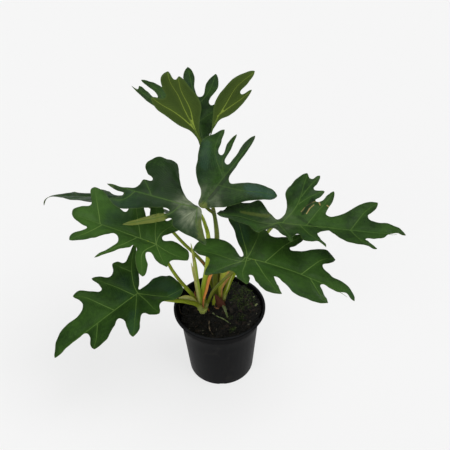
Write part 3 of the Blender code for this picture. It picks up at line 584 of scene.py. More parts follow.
def edge_curve(edge, step):
    """The smooth closed edge through a leaf's edge points, sharp at its tips."""
    spots = np.array([point[:2] for point in edge], float)
    sharp = [len(point) > 2 for point in edge]
    count = len(spots)
    ways = []
    for k in range(count):
        way = spots[(k + 1) % count] - spots[k]
        ways.append(way / np.linalg.norm(way))
    curve = []
    for k in range(count):
        after = (k + 1) % count
        reach = np.linalg.norm(spots[after] - spots[k])
        leave = ways[k] + ways[k - 1] * (TIP_ROUND if sharp[k] else 1)
        arrive = ways[k] + ways[after] * (TIP_ROUND if sharp[after] else 1)
        leave = leave / np.linalg.norm(leave) * reach
        arrive = arrive / np.linalg.norm(arrive) * reach
        for t in np.arange(0, 1, 1 / max(1, round(reach / step))):
            curve.append(spots[k] * (1 + 2 * t) * (1 - t) ** 2 + spots[after] * t * t * (3 - 2 * t)
                         + leave * t * (1 - t) ** 2 - arrive * t * t * (1 - t))
    return np.array(curve)


def inside(points, loop):
    """Which points lie inside a closed loop, and how far from its nearest corner."""
    x, y = points.T
    hit = np.zeros(len(points), bool)
    for a, b in zip(loop, np.roll(loop, -1, axis=0)):
        spans = (a[1] > y) != (b[1] > y)
        with np.errstate(divide="ignore", invalid="ignore"):
            cross = a[0] + (y - a[1]) * (b[0] - a[0]) / (b[1] - a[1])
        hit ^= spans & (x < cross)
    away = np.linalg.norm(points[:, None] - loop[None], axis=2).min(1)
    return hit, away


def run_of(line):
    """The length along a row of points, at each of them."""
    steps = np.linalg.norm(np.diff(line, axis=0), axis=1)
    return np.concatenate([[0], np.cumsum(steps)])


def evenly(line, step):
    """A row of points read again at even steps."""
    run = run_of(line)
    marks = np.linspace(0, run[-1], max(2, round(run[-1] / step) + 1))
    return np.column_stack([np.interp(marks, run, line[:, k]) for k in range(line.shape[1])])


def spline(route, step):
    """Points along a smooth curve through a route, a step apart."""
    knots = np.array(route, float)
    padded = np.vstack([2 * knots[0] - knots[1], knots, 2 * knots[-1] - knots[-2]])
    line = []
    for k in range(1, len(padded) - 2):
        a, b, c, d = padded[k - 1:k + 3]
        for t in np.linspace(0, 1, SPLINE_STEPS, endpoint=False):
            line.append(0.5 * (2 * b + (c - a) * t + (2 * a - 5 * b + 4 * c - d) * t ** 2
                               + (3 * b - a - 3 * c + d) * t ** 3))
    line.append(knots[-1])
    return evenly(np.array(line), step)


def ways_along(line):
    """The way that a row of points goes at each of them, of unit length."""
    return unit(np.gradient(line, axis=0))


def vein_grid(loop, shy):
    """A grid of flat cells inside a blade, with what it costs a vein to cross each.

    A cell nearer to the edge than the vein is shy of is dear, so it keeps to its lobe's middle.
    """
    low = np.floor(loop.min(0) / VEIN_CELL).astype(int)
    high = np.ceil(loop.max(0) / VEIN_CELL).astype(int)
    cells = [(i, k) for i in range(low[0], high[0] + 1) for k in range(low[1], high[1] + 1)]
    within, from_edge = inside(np.array(cells) * VEIN_CELL, loop)
    cost = 1 + VEIN_DREAD * np.exp(-(from_edge / shy) ** 2)
    return {cell: float(price) for cell, price, kept in zip(cells, cost, within) if kept}


def vein_route(cells, trunk, start):
    """The cheapest row of cells from a lobe's tip to the trunk of older veins."""
    steps = [(i, k, math.hypot(i, k)) for i in range(-2, 3) for k in range(-2, 3)
             if math.gcd(i, k) == 1]
    paid = {start: 0.0}
    came = {}
    queue = [(0.0, start)]
    best = (math.inf, start)
    done = set()
    while queue:
        price, cell = heapq.heappop(queue)
        if cell in done:
            continue
        done.add(cell)
        if price >= best[0]:
            break
        if cell in trunk and price + trunk[cell] < best[0]:
            best = (price + trunk[cell], cell)
        for i, k, reach in steps:
            after = (cell[0] + i, cell[1] + k)
            if after not in cells or after in done:
                continue
            new = price + reach * VEIN_CELL * (cells[cell] + cells[after]) / 2
            if new < paid.get(after, math.inf):
                paid[after] = new
                came[after] = cell
                heapq.heappush(queue, (new, after))
    route = [best[1]]
    while route[-1] != start:
        route.append(came[route[-1]])
    return route


def eased(line):
    """A row of points with its corners eased out, and both of its ends kept."""
    line = evenly(line, VEIN_STEP)
    for _ in range(VEIN_SMOOTHING):
        line[1:-1] += ((line[:-2] + line[2:]) / 2 - line[1:-1]) * 0.5
    return evenly(line, VEIN_STEP)


def vein_lines(leaf, loop):
    """The midrib and a vein to each lobe's tip: rows of flat points, and their radii.

    A vein leaves the midrib or an older vein where its way to the tip is cheapest.
    """
    ahead = vein_grid(loop, VEIN_SHY)
    behind = vein_grid(loop, BASAL_SHY)
    reach = leaf.length * VEIN_REACH
    midrib = evenly(np.array([[0, 0], [0, reach]], float), VEIN_STEP)
    fade = (1 - np.linspace(0, 1, len(midrib))) ** VEIN_TAPER
    veins = [(midrib, VEIN_TIP + (MIDRIB - VEIN_TIP) * fade)]
    trunk = {(0, k): MIDRIB_SHARE * k * VEIN_CELL for k in range(int(reach / VEIN_CELL))}
    thick = {cell: SIDE_VEIN / BRANCH_SHARE for cell in trunk}
    tips = [point[:2] for point in leaf.edge if len(point) > 2]
    tips = [spot for spot in tips
            if abs(spot[0]) > APEX_WIDTH or spot[1] < APEX_START * leaf.length]
    spots = np.array(list(ahead))
    basal = sorted((spot for spot in tips if spot[1] < BASAL_START),
                   key=lambda spot: -math.hypot(*spot))
    others = sorted((spot for spot in tips if spot not in basal), key=lambda spot: -abs(spot[0]))
    firsts = [next((spot for spot in basal if spot[0] * side > 0), None) for side in (-1, 1)]
    for x, y in basal + others:
        cells = behind if (x, y) in firsts else ahead
        away = np.linalg.norm(spots * VEIN_CELL - [x, y], axis=1)
        start = tuple(int(part) for part in spots[away.argmin()])
        route = vein_route(cells, trunk, start)
        if len(route) < 3:
            continue
        line = eased(np.array(route) * VEIN_CELL)
        run = run_of(line)
        short = min(1, run[-1] / SIDE_VEIN_SPAN) ** SHORT_VEIN_EASE
        root = thick[route[0]] * BRANCH_SHARE * short
        radii = VEIN_TIP + (root - VEIN_TIP) * (1 - run / run[-1]) ** VEIN_TAPER
        paces = run_of(np.array(route, float) * VEIN_CELL) * BASAL_TOLL
        for k, cell in enumerate(route):
            price = trunk[route[0]] + BRANCH_TOLL + (paces[k] if (x, y) in basal else VEIN_CELL * k)
            trunk[cell] = min(trunk.get(cell, math.inf), price)
            thick.setdefault(cell, float(np.interp(k / len(route), run / run[-1], radii)))
        veins.append((line, radii))
    return veins


def nearest(points, line, run):
    """How far points lie from a row of points, and the run at the nearest of it."""
    away = np.empty(len(points))
    along = np.empty(len(points))
    for k in range(0, len(points), 500):
        gaps = np.linalg.norm(points[k:k + 500, None] - line[None], axis=2)
        best = gaps.argmin(1)
        away[k:k + 500] = gaps.min(1)
        along[k:k + 500] = run[best]
    return away, along


class Surface:
    """A leaf's flat pattern with its veins, and the way from it into the room."""

    def __init__(self, leaf, ruffle, settings):
        self.leaf = leaf
        self.pucker = settings.pucker / MM
        self.ruffle = ruffle * settings.ruffle / MM
        self.loop = edge_curve(leaf.edge, settings.edge_step / MM)
        self.veins = vein_lines(leaf, self.loop)
        self.vein_points = np.vstack([line for line, _ in self.veins])
        self.vein_run = np.concatenate([run_of(line) for line, _ in self.veins])

    def facts(self, flat):
        """How far flat points lie from a vein and from the edge, and the run along the vein."""
        from_vein, vein_run = nearest(flat, self.vein_points, self.vein_run)
        from_edge, _ = nearest(flat, self.loop, np.zeros(len(self.loop)))
        return from_vein, vein_run, from_edge

    def relief(self, flat):
        """The blade quilts up between its veins, and its edge ruffles."""
        from_vein, _, from_edge = self.facts(flat)
        quilt = self.pucker * (smooth_step(from_vein / VEIN_VALLEY) - 0.5)
        quilt = quilt * smooth_step(from_edge / RUFFLE_BAND)
        wave = np.array([noise.noise(Vector((x, y, 4)) / RUFFLE_RUN) for x, y in flat])
        return quilt + self.ruffle * 2 * wave * (1 - smooth_step(from_edge / RUFFLE_BAND))

    def normals(self, flat):
        """The upward normal of the bent pattern."""
        across = bend(flat + [SLOPE_STEP, 0], self.leaf) - bend(flat - [SLOPE_STEP, 0], self.leaf)
        ahead = bend(flat + [0, SLOPE_STEP], self.leaf) - bend(flat - [0, SLOPE_STEP], self.leaf)
        return unit(np.cross(across, ahead))

    def place(self, flat, height=0.0):
        """Where flat points lie in the room, raised by a height above the blade's middle."""
        rise = (self.relief(flat) + height)[:, None]
        return bend(flat, self.leaf) + self.normals(flat) * rise


def blade_pattern(surface, grid):
    """The flat pattern as points and triangles, with rows of points along its veins."""
    loop = surface.loop
    low = loop.min(0)
    high = loop.max(0)
    spots = np.array([(x, y) for k, y in enumerate(np.arange(low[1], high[1], grid * ROW_SHARE))
                      for x in np.arange(low[0] + grid / 2 * (k % 2), high[0], grid)])
    clear = CLEAR_SHARE * grid
    within, from_edge = inside(spots, loop)
    from_vein, _ = nearest(spots, surface.vein_points, surface.vein_run)
    spots = spots[within & (from_edge > clear) & (from_vein > clear)]
    vein_spots = surface.vein_points
    within, from_edge = inside(vein_spots, loop)
    vein_spots = vein_spots[within & (from_edge > clear)]
    points = [Vector(p) for p in np.vstack([loop, spots, vein_spots])]
    edges = [(k, (k + 1) % len(loop)) for k in range(len(loop))]
    made = delaunay_2d_cdt(points, edges, [], 1, 1e-3)
    return np.array([tuple(p) for p in made[0]]), [list(face) for face in made[2]]


def new_mesh(name, points, faces, edges=()):
    """A mesh from points in millimetres."""
    mesh = bpy.data.meshes.new(name)
    mesh.from_pydata([tuple(point) for point in np.array(points, float) * MM], edges, faces)
    return mesh


def store(mesh, **facts):
    """Gives a mesh's points the facts that a material or a growing tree reads."""
    for key, values in facts.items():
        made = mesh.attributes.new(key, "FLOAT", "POINT")
        made.data.foreach_set("value", np.array(values, np.float32))


def smoothed(mesh, sharp=None):
    """Shades a mesh smooth, apart from edges sharper than an angle in degrees."""
    mesh.shade_smooth()
    if sharp:
        mesh.set_sharp_from_angle(angle=math.radians(sharp))
    return mesh


def grid_corners(rows, wide):
    """The first corner of each face of a grid of points, row by row."""
    return [row * wide + k for row in range(rows - 1) for k in range(wide - 1)]


def both_sides(faces, count):
    """A sheet's faces, those of its other side, count points further on, and the rim between."""
    open_edges = {}
    for face in faces:
        for k, a in enumerate(face):
            b = face[(k + 1) % len(face)]
            if (b, a) in open_edges:
                del open_edges[(b, a)]
            else:
                open_edges[(a, b)] = True
    under = [[k + count for k in reversed(face)] for face in faces]
    rim = [[b, a, a + count, b + count] for a, b in open_edges]
    return faces + under + rim


def blade_mesh(name, surface, settings):
    """A blade with both its faces and a thin rim, and what its material needs to know."""
    flat, faces = blade_pattern(surface, settings.grid / MM)
    from_vein, vein_run, from_edge = surface.facts(flat)
    steady = np.ones(len(flat))
    for face in faces:
        if np.ptp(vein_run[face]) > STEADY_RUN:
            steady[face] = 0
    half = settings.thickness / MM / 2
    half = half * (MARGIN_THIN + (1 - MARGIN_THIN) * smooth_step(from_edge / MARGIN_BAND))
    count = len(flat)
    points = np.vstack([surface.place(flat, half), surface.place(flat, -half)])
    mesh = new_mesh(name, points, both_sides(faces, count))
    store(mesh, from_vein=np.tile(from_vein, 2), from_edge=np.tile(from_edge, 2),
          vein_run=np.tile(vein_run, 2), steady=np.tile(steady, 2),
          underside=np.repeat([0.0, 1.0], count))
    corners = np.empty(len(mesh.loops), np.int32)
    mesh.loops.foreach_get("vertex_index", corners)
    spots = np.tile(flat, (2, 1))[corners] / PATTERN_SPAN
    mesh.uv_layers.new(name="pattern").data.foreach_set("uv", spots.astype(np.float32).ravel())
    return smoothed(mesh, 60)


def under_blade(leaf, spot, depth):
    """The point at a depth in millimetres under a spot of a blade."""
    x, y = spot
    here, ahead, aside = bend([(x, y), (x, y + 1), (x + 1, y)], leaf)
    return here - unit(np.cross(aside - here, ahead - here)) * depth


def petiole_line(leaf, stalk, thicker):
    """A petiole's points and radii, from inside its crown to a nose under its leaf's midrib."""
    route = [np.array(point, float) for point in stalk.route]
    joint = under_blade(leaf, leaf.seat, stalk.top * (1 + JOINT_FLARE) + JOINT_DEPTH)
    nose = under_blade(leaf, (0, leaf.seat[1] + NOSE), NOSE_RADIUS)
    line = spline(route + [joint], STALK_STEP)
    line = np.vstack([line[0] + unit(line[0] - line[1]) * ROOTED, line])
    run = run_of(line)
    reach = run[-1]
    radii = stalk.foot + (stalk.top - stalk.foot) * run / reach
    thinning = smooth_step((run / reach - THICK_SHARE) / (1 - THICK_SHARE))
    radii = radii * (thicker + (1 - thicker) * thinning)
    radii = radii * (1 + BASE_FLARE * (1 - smooth_step(run / BASE_REACH)))
    radii = radii * (1 + JOINT_FLARE * (1 - smooth_step((reach - run) / JOINT_REACH)))
    tail = spline([line[-2], line[-1], (line[-1] + nose) / 2, nose], STALK_STEP)[2:]
    tail_share = np.linspace(0, 1, len(tail) + 1)[1:]
    tail_radii = radii[-1] + (NOSE_RADIUS - radii[-1]) * smooth_step(tail_share)
    return np.vstack([line, tail]), np.concatenate([radii, tail_radii])


def strip_mesh(name, line, widths, cup, facing, thick, twist=0.0):
    """A closed, cupped strip along a row of points, such as a sheath. All in millimetres."""
    angles = np.linspace(-1, 1, STRIP_POINTS)
    turns = np.linspace(0, math.radians(twist), len(line))
    outer = []
    inner = []
    for centre, way, width, turned_by in zip(line, ways_along(line), widths, turns):
        aside = unit(np.cross(way, facing))
        front = np.cross(aside, way)
        side = aside * math.cos(turned_by) + front * math.sin(turned_by)
        face = front * math.cos(turned_by) - aside * math.sin(turned_by)
        half = math.radians(cup) / 2
        radius = width / 2 / max(math.sin(half), 0.05)
        for k in angles:
            out = side * math.sin(half * k) - face * (math.cos(half * k) - math.cos(half))
            taper = thick * (STRIP_EDGE + (1 - STRIP_EDGE) * math.cos(k * math.pi / 2)) / 2
            edge = unit(side * math.sin(half * k) - face * math.cos(half * k))
            outer.append(centre + out * radius + edge * taper)
            inner.append(centre + out * radius - edge * taper)
    faces = [[a, a + 1, a + STRIP_POINTS + 1, a + STRIP_POINTS]
             for a in grid_corners(len(line), STRIP_POINTS)]
    mesh = new_mesh(name, outer + inner, both_sides(faces, len(outer)))
    tidy_normals(mesh)
    store(mesh, run=np.tile(np.repeat(run_of(line), STRIP_POINTS), 2),
          across=np.tile(angles, 2 * len(line)))
    return smoothed(mesh, 55)


def mesh_from(name, body):
    """A mesh from a body that was built up in memory."""
    mesh = bpy.data.meshes.new(name)
    body.to_mesh(mesh)
    body.free()
    return mesh


def tidy_normals(mesh):
    """Turns every face of a closed mesh outwards."""
    body = bmesh.new()
    body.from_mesh(mesh)
    bmesh.ops.recalc_face_normals(body, faces=body.faces)
    body.to_mesh(mesh)
    body.free()


def turned_mesh(name, profile, sides):
    """A profile of radius and height pairs, from the axis round to the axis, turned."""
    points = []
    rings = []
    for radius, z in profile:
        count = 1 if radius == 0 else sides
        rings.append([len(points) + k for k in range(count)])
        for k in range(count):
            angle = math.tau * k / sides
            points.append((radius * math.cos(angle), radius * math.sin(angle), z))
    faces = []
    for low, high in zip(rings, rings[1:]):
        for k in range(sides):
            after = (k + 1) % sides
            corners = [low[k % len(low)], low[after % len(low)],
                       high[after % len(high)], high[k % len(high)]]
            faces.append(list(dict.fromkeys(corners)))
    mesh = new_mesh(name, points, faces)
    tidy_normals(mesh)
    return mesh


def put(name, data):
    """Puts an object with its data in the scene."""
    made = bpy.data.objects.new(name, data)
    bpy.context.scene.collection.objects.link(made)
    return made


def settled(name, holder):
    """The plain mesh that an object's modifier gives. The object is removed."""
    shown = holder.evaluated_get(bpy.context.evaluated_depsgraph_get())
    result = bpy.data.meshes.new_from_object(shown)
    result.name = name
    bpy.data.objects.remove(holder, do_unlink=True)
    return result


def piece(name, mesh, finish, slot, *nodes):
    """Puts a finished mesh in the scene as a piece of the plant, which stands for those nodes."""
    mesh.materials.clear()
    mesh.materials.append(finish)
    made = put(name, mesh)
    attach(made, "root")
    if nodes:
        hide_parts(*nodes)


class Wire:
    """An output socket. A sum on wires adds Math nodes to the tree that they belong to."""

    def __init__(self, net, socket):
        self.net = net
        self.socket = socket

    def __add__(self, other):
        return self.net.math("ADD", self, other)

    def __sub__(self, other):
        return self.net.math("SUBTRACT", self, other)

    def __rsub__(self, other):
        return self.net.math("SUBTRACT", other, self)

    def __mul__(self, other):
        return self.net.math("MULTIPLY", self, other)

    __radd__ = __add__
    __rmul__ = __mul__


class Net:
    """A node tree, to which nodes are added with their settings and sockets."""

    def __init__(self, tree):
        self.tree = tree

    def feed(self, socket, value):
        """Gives a socket a wire, a colour or a plain value."""
        if isinstance(value, Wire):
            self.tree.links.new(value.socket, socket)
        elif socket.type == "RGBA":
            socket.default_value = (*value[:3], 1.0)
        else:
            socket.default_value = value

    def node(self, kind, settings=None, sockets=None, out=0):
        """Adds a node: first its settings, then its sockets. Returns the wire from one output."""
        made = self.tree.nodes.new(kind)
        for key, value in (settings or {}).items():
            setattr(made, key, value)
        for key, value in (sockets or {}).items():
            self.feed(made.inputs[key], value)
        return Wire(self, made.outputs[out]) if made.outputs else None

    def math(self, operation, *values):
        return self.node("ShaderNodeMath", {"operation": operation}, dict(enumerate(values)))

    def vector(self, operation, sockets, out="Vector"):
        return self.node("ShaderNodeVectorMath", {"operation": operation}, sockets, out)

    def part(self, vector, axis):
        """One of a vector's three numbers."""
        return self.node("ShaderNodeSeparateXYZ", {}, {0: vector}, axis)

    def three(self, sockets):
        """A vector from up to three numbers."""
        return self.node("ShaderNodeCombineXYZ", {}, sockets)


class Finish(Net):
    """A material in the making."""

    def __init__(self, name):
        self.material = bpy.data.materials.new(name)
        self.material.use_nodes = True
        super().__init__(self.material.node_tree)
        self.shader = self.tree.nodes["Principled BSDF"]

    def place(self):
        return self.node("ShaderNodeTexCoord", out="Object")

    def fact(self, name, out="Fac"):
        return self.node("ShaderNodeAttribute", {"attribute_name": name}, out=out)

    def stretch(self, where, scale):
        """Coordinates scaled by a different number along each axis."""
        return self.vector("MULTIPLY", {0: where, 1: scale})

    def cloud(self, where, scale, detail=2.0, roughness=0.5):
        sockets = {"Vector": where, "Scale": scale, "Detail": detail, "Roughness": roughness}
        return self.node("ShaderNodeTexNoise", {}, sockets)

    def cells(self, where, scale, out="Distance"):
        return self.node("ShaderNodeTexVoronoi", {}, {"Vector": where, "Scale": scale}, out)

    def pattern(self):
        """The flat pattern's coordinates, in millimetres."""
        where = self.node("ShaderNodeUVMap", {"uv_map": "pattern"})
        return self.stretch(where, (PATTERN_SPAN, PATTERN_SPAN, PATTERN_SPAN))

    def stroke(self, flat, start, end, reach):
        """A ragged stroke on the flat pattern, from one point to another."""
        way = Vector((*end, 0)) - Vector((*start, 0))
        out = self.vector("SUBTRACT", {0: flat, 1: (*start, 0)})
        share = self.vector("DOT_PRODUCT", {0: out, 1: way / way.length_squared}, "Value")
        share = self.node("ShaderNodeClamp", {}, {"Value": share})
        near = self.vector("SCALE", {0: tuple(way), "Scale": share})
        gap = self.vector("DISTANCE", {0: out, 1: near}, "Value")
        ragged = gap + self.cloud(flat, 0.35, 3) * (reach * 1.2)
        return self.rise(ragged, reach * 1.7, reach * 0.9)

    def ray_streaks(self, flat):
        """Grey streaks that run out from a blade's joint and fade."""
        angle = self.math("ARCTAN2", self.part(flat, 0), self.part(flat, 1))
        away = self.vector("LENGTH", {0: flat}, "Value")
        ray = self.three({0: angle * 3.2, 1: away * 0.02})
        streak = self.rise(self.cloud(ray, 2.2, 3, 0.6), 0.3, 0.75)
        patch = self.rise(self.cloud(flat, 0.06, 3), 0.38, 0.62)
        fade = self.rise(away, SHEEN_REACH, SHEEN_REACH * 0.3)
        return (0.25 + 0.45 * streak) * (0.3 + 0.9 * patch) * fade

    def rise(self, value, low, high):
        """A smooth step from 0 to 1 as a value goes from low to high."""
        sockets = {"Value": value, "From Min": low, "From Max": high}
        return self.node("ShaderNodeMapRange", {"interpolation_type": "SMOOTHSTEP"}, sockets)

    def blend(self, share, first, second):
        """The first colour, with a share of the second."""
        return self.node("ShaderNodeMix", {"data_type": "RGBA"}, {0: share, 6: first, 7: second}, 2)

    def bump(self, height, depth):
        return self.node("ShaderNodeBump", {}, {"Height": height, "Distance": depth})

    def done(self, **sockets):
        """Feeds the shader's sockets, whose names have their spaces as underscores."""
        for key, value in sockets.items():
            self.feed(self.shader.inputs[key.replace("_", " ")], value)
        return self.material


class Growth(Net):
    """A Geometry Nodes tree in the making, with named inputs."""

    def __init__(self, name):
        super().__init__(bpy.data.node_groups.new(name, "GeometryNodeTree"))
        for way in ("INPUT", "OUTPUT"):
            self.tree.interface.new_socket("Geometry", in_out=way, socket_type="NodeSocketGeometry")
        self.names = {}

    def knob(self, name, kind):
        """Adds a named input and returns its wire."""
        made = self.tree.interface.new_socket(name, in_out="INPUT", socket_type="NodeSocket" + kind)
        self.names[name] = made.identifier
        return self.node("NodeGroupInput", out=name)

    def start(self):
        return self.node("NodeGroupInput", out="Geometry")

    def fact(self, name):
        settings = {"data_type": "FLOAT"}
        return self.node("GeometryNodeInputNamedAttribute", settings, {"Name": name})

    def keep(self, geometry, name, value, kind="FLOAT"):
        """Stores a named attribute on a geometry's points."""
        settings = {"data_type": kind, "domain": "POINT"}
        sockets = {"Geometry": geometry, "Name": name, "Value": value}
        return self.node("GeometryNodeStoreNamedAttribute", settings, sockets)

    def end(self, geometry, finish):
        """Makes instances real, sets the material and closes the tree."""
        real = self.node("GeometryNodeRealizeInstances", {}, {"Geometry": geometry})
        dressed = self.node("GeometryNodeSetMaterial", {}, {"Geometry": real, "Material": finish})
        self.node("NodeGroupOutput", {}, {"Geometry": dressed})

    def grown(self, name, mesh, **values):
        """Runs the tree on a mesh, with values for its named inputs. Returns the plain result."""
        holder = put(name + "_seed", mesh)
        modifier = holder.modifiers.new("growth", "NODES")
        modifier.node_group = self.tree
        for key, value in values.items():
            modifier[self.names[key]] = value
        return settled(name, holder)


# Finishes


def plastic_finish(settings):
    """Black moulded plastic: a satin skin, faint streaks and dust, a rougher collar darkened by
    painted shade, and a painted highlight along the lip.
    """
    make = Finish("pot_plastic")
    place = make.place()
    dust = make.rise(make.cloud(place, 55, 6, 0.65), 0.52, 0.8)
    streak = make.cloud(make.stretch(place, (1, 1, 0.06)), 260, 3)
    grain = make.cloud(place, 1500, 2)
    height = make.part(place, 2)
    # The collar: painted shade darkens its colour, and its skin turns rougher
    collar = make.rise(height, *COLLAR_SHADE)
    colour = make.blend(dust * 0.35, settings.colour, settings.dust)
    colour = make.blend(collar * 0.55, colour, settings.shade)
    # A painted highlight pales the lip
    colour = make.blend(make.rise(height, *LIP_HIGHLIGHT), colour, settings.lip)
    rough = 0.40 + 0.12 * streak + 0.2 * dust + 0.3 * collar
    skin = make.bump(0.6 * grain + 0.4 * streak, 0.00006)
    return make.done(Base_Color=colour, Roughness=rough, Normal=skin,
                     Specular_IOR_Level=settings.shine)


def mix_finish(settings):
    """Dark, damp bark mix: crumbs of several browns, with rare pale specks."""
    make = Finish("potting_mix")
    place = make.place()
    crumbs = make.cells(place, 420)
    tint = make.node("ShaderNodeSeparateColor", {}, {0: make.cells(place, 420, "Color")})
    wet = make.cloud(place, 45, 3)
    colour = make.blend(make.rise(tint, 0.55, 1.0) * 0.7, settings.colour, settings.crumb)
    colour = make.blend(make.rise(tint, 0.985, 0.992) * 0.8, colour, settings.speck)
    rough = 0.95 - 0.3 * make.rise(wet, 0.45, 0.7)
    height = make.cloud(place, 700, 4, 0.7) - 0.6 * crumbs
    return make.done(Base_Color=colour, Roughness=rough, Normal=make.bump(height, 0.0009))


def chip_finish(name, dark, light):
    """Rough bark or rind, from a dark colour to a light one, with a grain along its height."""
    make = Finish(name)
    place = make.place()
    grain = make.cloud(make.stretch(place, (1, 1, 3.5)), 260, 6, 0.7)
    patch = make.cloud(place, 90, 3)
    colour = make.blend(make.rise(0.5 * grain + 0.5 * patch, 0.4, 0.62), dark, light)
    return make.done(Base_Color=colour, Roughness=0.75 + 0.2 * grain,
                     Normal=make.bump(grain, 0.0006))


def moss_finish(settings):
    """Soft moss whose leaflets pale towards their tips."""
    make = Finish("moss")
    place = make.place()
    tip_share = make.fact("height")
    patch = make.cloud(place, 160, 4)
    share = make.rise(0.6 * tip_share + 0.6 * patch, 0.35, 0.95)
    return make.done(Base_Color=make.blend(share, settings.moss, settings.moss_tip), Roughness=0.8)


def crown_finish(name, base, settings):
    """Crown tissue with paler rings, brown flecks and a pale foot."""
    make = Finish("crown_" + name)
    place = make.place()
    rings = make.cloud(make.stretch(place, (0.35, 0.35, 3.0)), 330, 4, 0.6)
    fleck = make.rise(make.cloud(place, 420, 5, 0.7), 0.56, 0.7)
    colour = make.blend(make.rise(rings, 0.45, 0.75) * 0.7, base, settings.crown_pale)
    colour = make.blend(fleck * 0.5, colour, settings.scale)
    foot = make.rise(make.part(place, 2), (SOIL_TOP + 6) * MM, (SOIL_TOP + 3) * MM)
    colour = make.blend(foot * 0.7, colour, settings.crown_pale)
    return make.done(Base_Color=colour, Roughness=0.5 + 0.25 * rings,
                     Normal=make.bump(rings, 0.0005))


def stalk_finish(name, look, settings):
    """A smooth petiole: yellow-green, streaked along its length, paler at its foot, and on some
    darkened by painted shade towards its leaf.
    """
    make = Finish("petiole_" + name)
    ring = make.fact("ring", "Vector")
    around = make.vector("ADD", {0: ring, 1: make.three({2: make.fact("run") * 9})})
    streak = make.cloud(make.stretch(around, (3.2, 3.2, 1.0)), 1.6, 5, 0.6)
    patch = make.rise(make.cloud(make.place(), 24, 4), 0.4, 0.7)
    pore = make.rise(make.cloud(make.place(), 620, 2), 0.63, 0.72)
    colour = make.blend(make.rise(streak, 0.35, 0.68), settings.green, settings.pale)
    colour = make.blend(0.9 * look.stalk, colour, settings.dull)
    colour = make.blend(patch * (0.1 + 0.5 * look.stalk), colour, settings.tan)
    # Painted shade darkens the petiole's far end, by its leaf
    far = make.rise(make.fact("share"), 0.7, 0.95)
    colour = make.blend(far * look.far_shade, colour, settings.dull)
    foot = make.rise(make.fact("foot"), 0.0, 1.0)
    colour = make.blend(foot * 0.55, colour, settings.crown_pale)
    colour = make.blend(pore * 0.35, colour, settings.scale)
    return make.done(Base_Color=colour, Roughness=0.36 + 0.2 * streak,
                     Normal=make.bump(0.8 * streak - 0.5 * pore, 0.0003),
                     Specular_IOR_Level=settings.shine)


def sheath_finish(name, base, pale, edge, roughness, right=None, foot=0.0):
    """A sheath with fine veins along it and darker thin edges.

    It may have another colour at its right, and a foot that is darkened too.
    """
    make = Finish(name)
    across = make.fact("across")
    run = make.fact("run")
    fibre = make.cloud(make.three({0: across * 6, 1: run * 0.05}), 2.2, 5, 0.65)
    patch = make.cloud(make.place(), 70, 4)
    rim = make.rise(make.math("ABSOLUTE", across), 0.55, 1.0)
    rim = rim + make.rise(run, 30.0, 6.0) * foot
    colour = make.blend(make.rise(fibre, 0.35, 0.65), base, pale)
    if right:
        colour = make.blend(make.rise(across + 0.8 * fibre, 0.2, 1.0), colour, right)
    colour = make.blend((0.5 * rim + 0.6 * make.rise(patch, 0.5, 0.75)) * 0.8, colour, edge)
    return make.done(Base_Color=colour, Roughness=roughness + 0.15 * fibre,
                     Normal=make.bump(fibre, 0.0004))


def blade_finish(name, look, settings):
    """A leaf's skin: deep green, with paler halos by its veins, faint side veins and a pale edge.

    Its underside is yellower and duller. Its upper face carries painted sheen, grey by the joint
    and bluish in patches and stretches, and painted shade in creases. The attributes and the flat
    pattern hold millimetres.
    """
    make = Finish("leaf_" + name)
    place = make.place()
    flat = make.pattern()
    from_vein = make.fact("from_vein")
    from_edge = make.fact("from_edge")
    below = make.fact("underside")
    patch = make.cloud(place, 26, 4, 0.55)
    speckle = make.cloud(place, 240, 4, 0.6)
    cells = make.cloud(place, 900, 3, 0.6)
    slant = (make.fact("vein_run") + from_vein * 1.5 + 4.0 * patch) * (math.tau / SIDE_VEIN_GAP)
    fine = make.rise(make.math("SINE", slant), 0.3, 1.0)
    fine = fine * make.rise(from_edge, *FINE_VEINS) * make.fact("steady")
    light = make.rise(patch, 0.3, 0.7) * 0.55 + make.rise(speckle, 0.35, 0.7) * 0.25
    colour = make.blend(light + (look.tone - TONE_MIDDLE), settings.deep, settings.light)
    # Patches of painted bluish sheen
    patchy_sheen = make.rise(make.cloud(place, 17, 3), 0.5, 0.72)
    colour = make.blend(patchy_sheen * 0.45, colour, settings.patchy_sheen)
    halo = make.rise(from_vein + 3.0 * patch, *VEIN_HALO)
    line = make.rise(from_vein, *VEIN_LINE)
    colour = make.blend(make.rise(from_edge, *EDGE_SHADE) * 0.25, colour, settings.deep)
    colour = make.blend(halo * (0.05 + 0.4 * look.veins) + fine * 0.14, colour, settings.halo)
    colour = make.blend(line * (0.1 + 0.5 * look.veins), colour, settings.dull_vein)
    colour = make.blend(make.rise(from_edge, *EDGE_LINE) * 0.45, colour, settings.margin)
    if look.sheen:
        colour = make.blend(make.ray_streaks(flat) * look.sheen, colour, settings.sheen)
    # Marks: scars and pale lobes, painted shade in creases, and painted bluish sheen
    for kind, start, end, reach, strength in MARKS.get(name, []):
        mark = make.stroke(flat, start, end, reach) * strength
        colour = make.blend(mark, colour, getattr(settings, kind))
    root = make.rise(make.vector("LENGTH", {0: flat}, "Value"), *UNDER_ROOT)
    pale = 0.25 * halo + 0.15 * fine + 0.35 * patch
    under = make.blend(pale, settings.underside, settings.under_pale)
    line = make.rise(from_vein, 0.6 + 0.55 * root, 0.25) * (0.3 + 0.7 * root)
    under = make.blend(line, under, settings.under_vein)
    under = make.blend(make.rise(from_edge, *UNDER_EDGE) * 0.4, under, settings.margin)
    height = 0.5 * speckle + 0.35 * cells - 0.35 * fine
    return make.done(Base_Color=make.blend(below, colour, under),
                     Roughness=settings.gloss + 0.14 * patch + 0.08 * cells + 0.18 * below,
                     Normal=make.bump(height, 0.00025), Specular_IOR_Level=settings.shine)


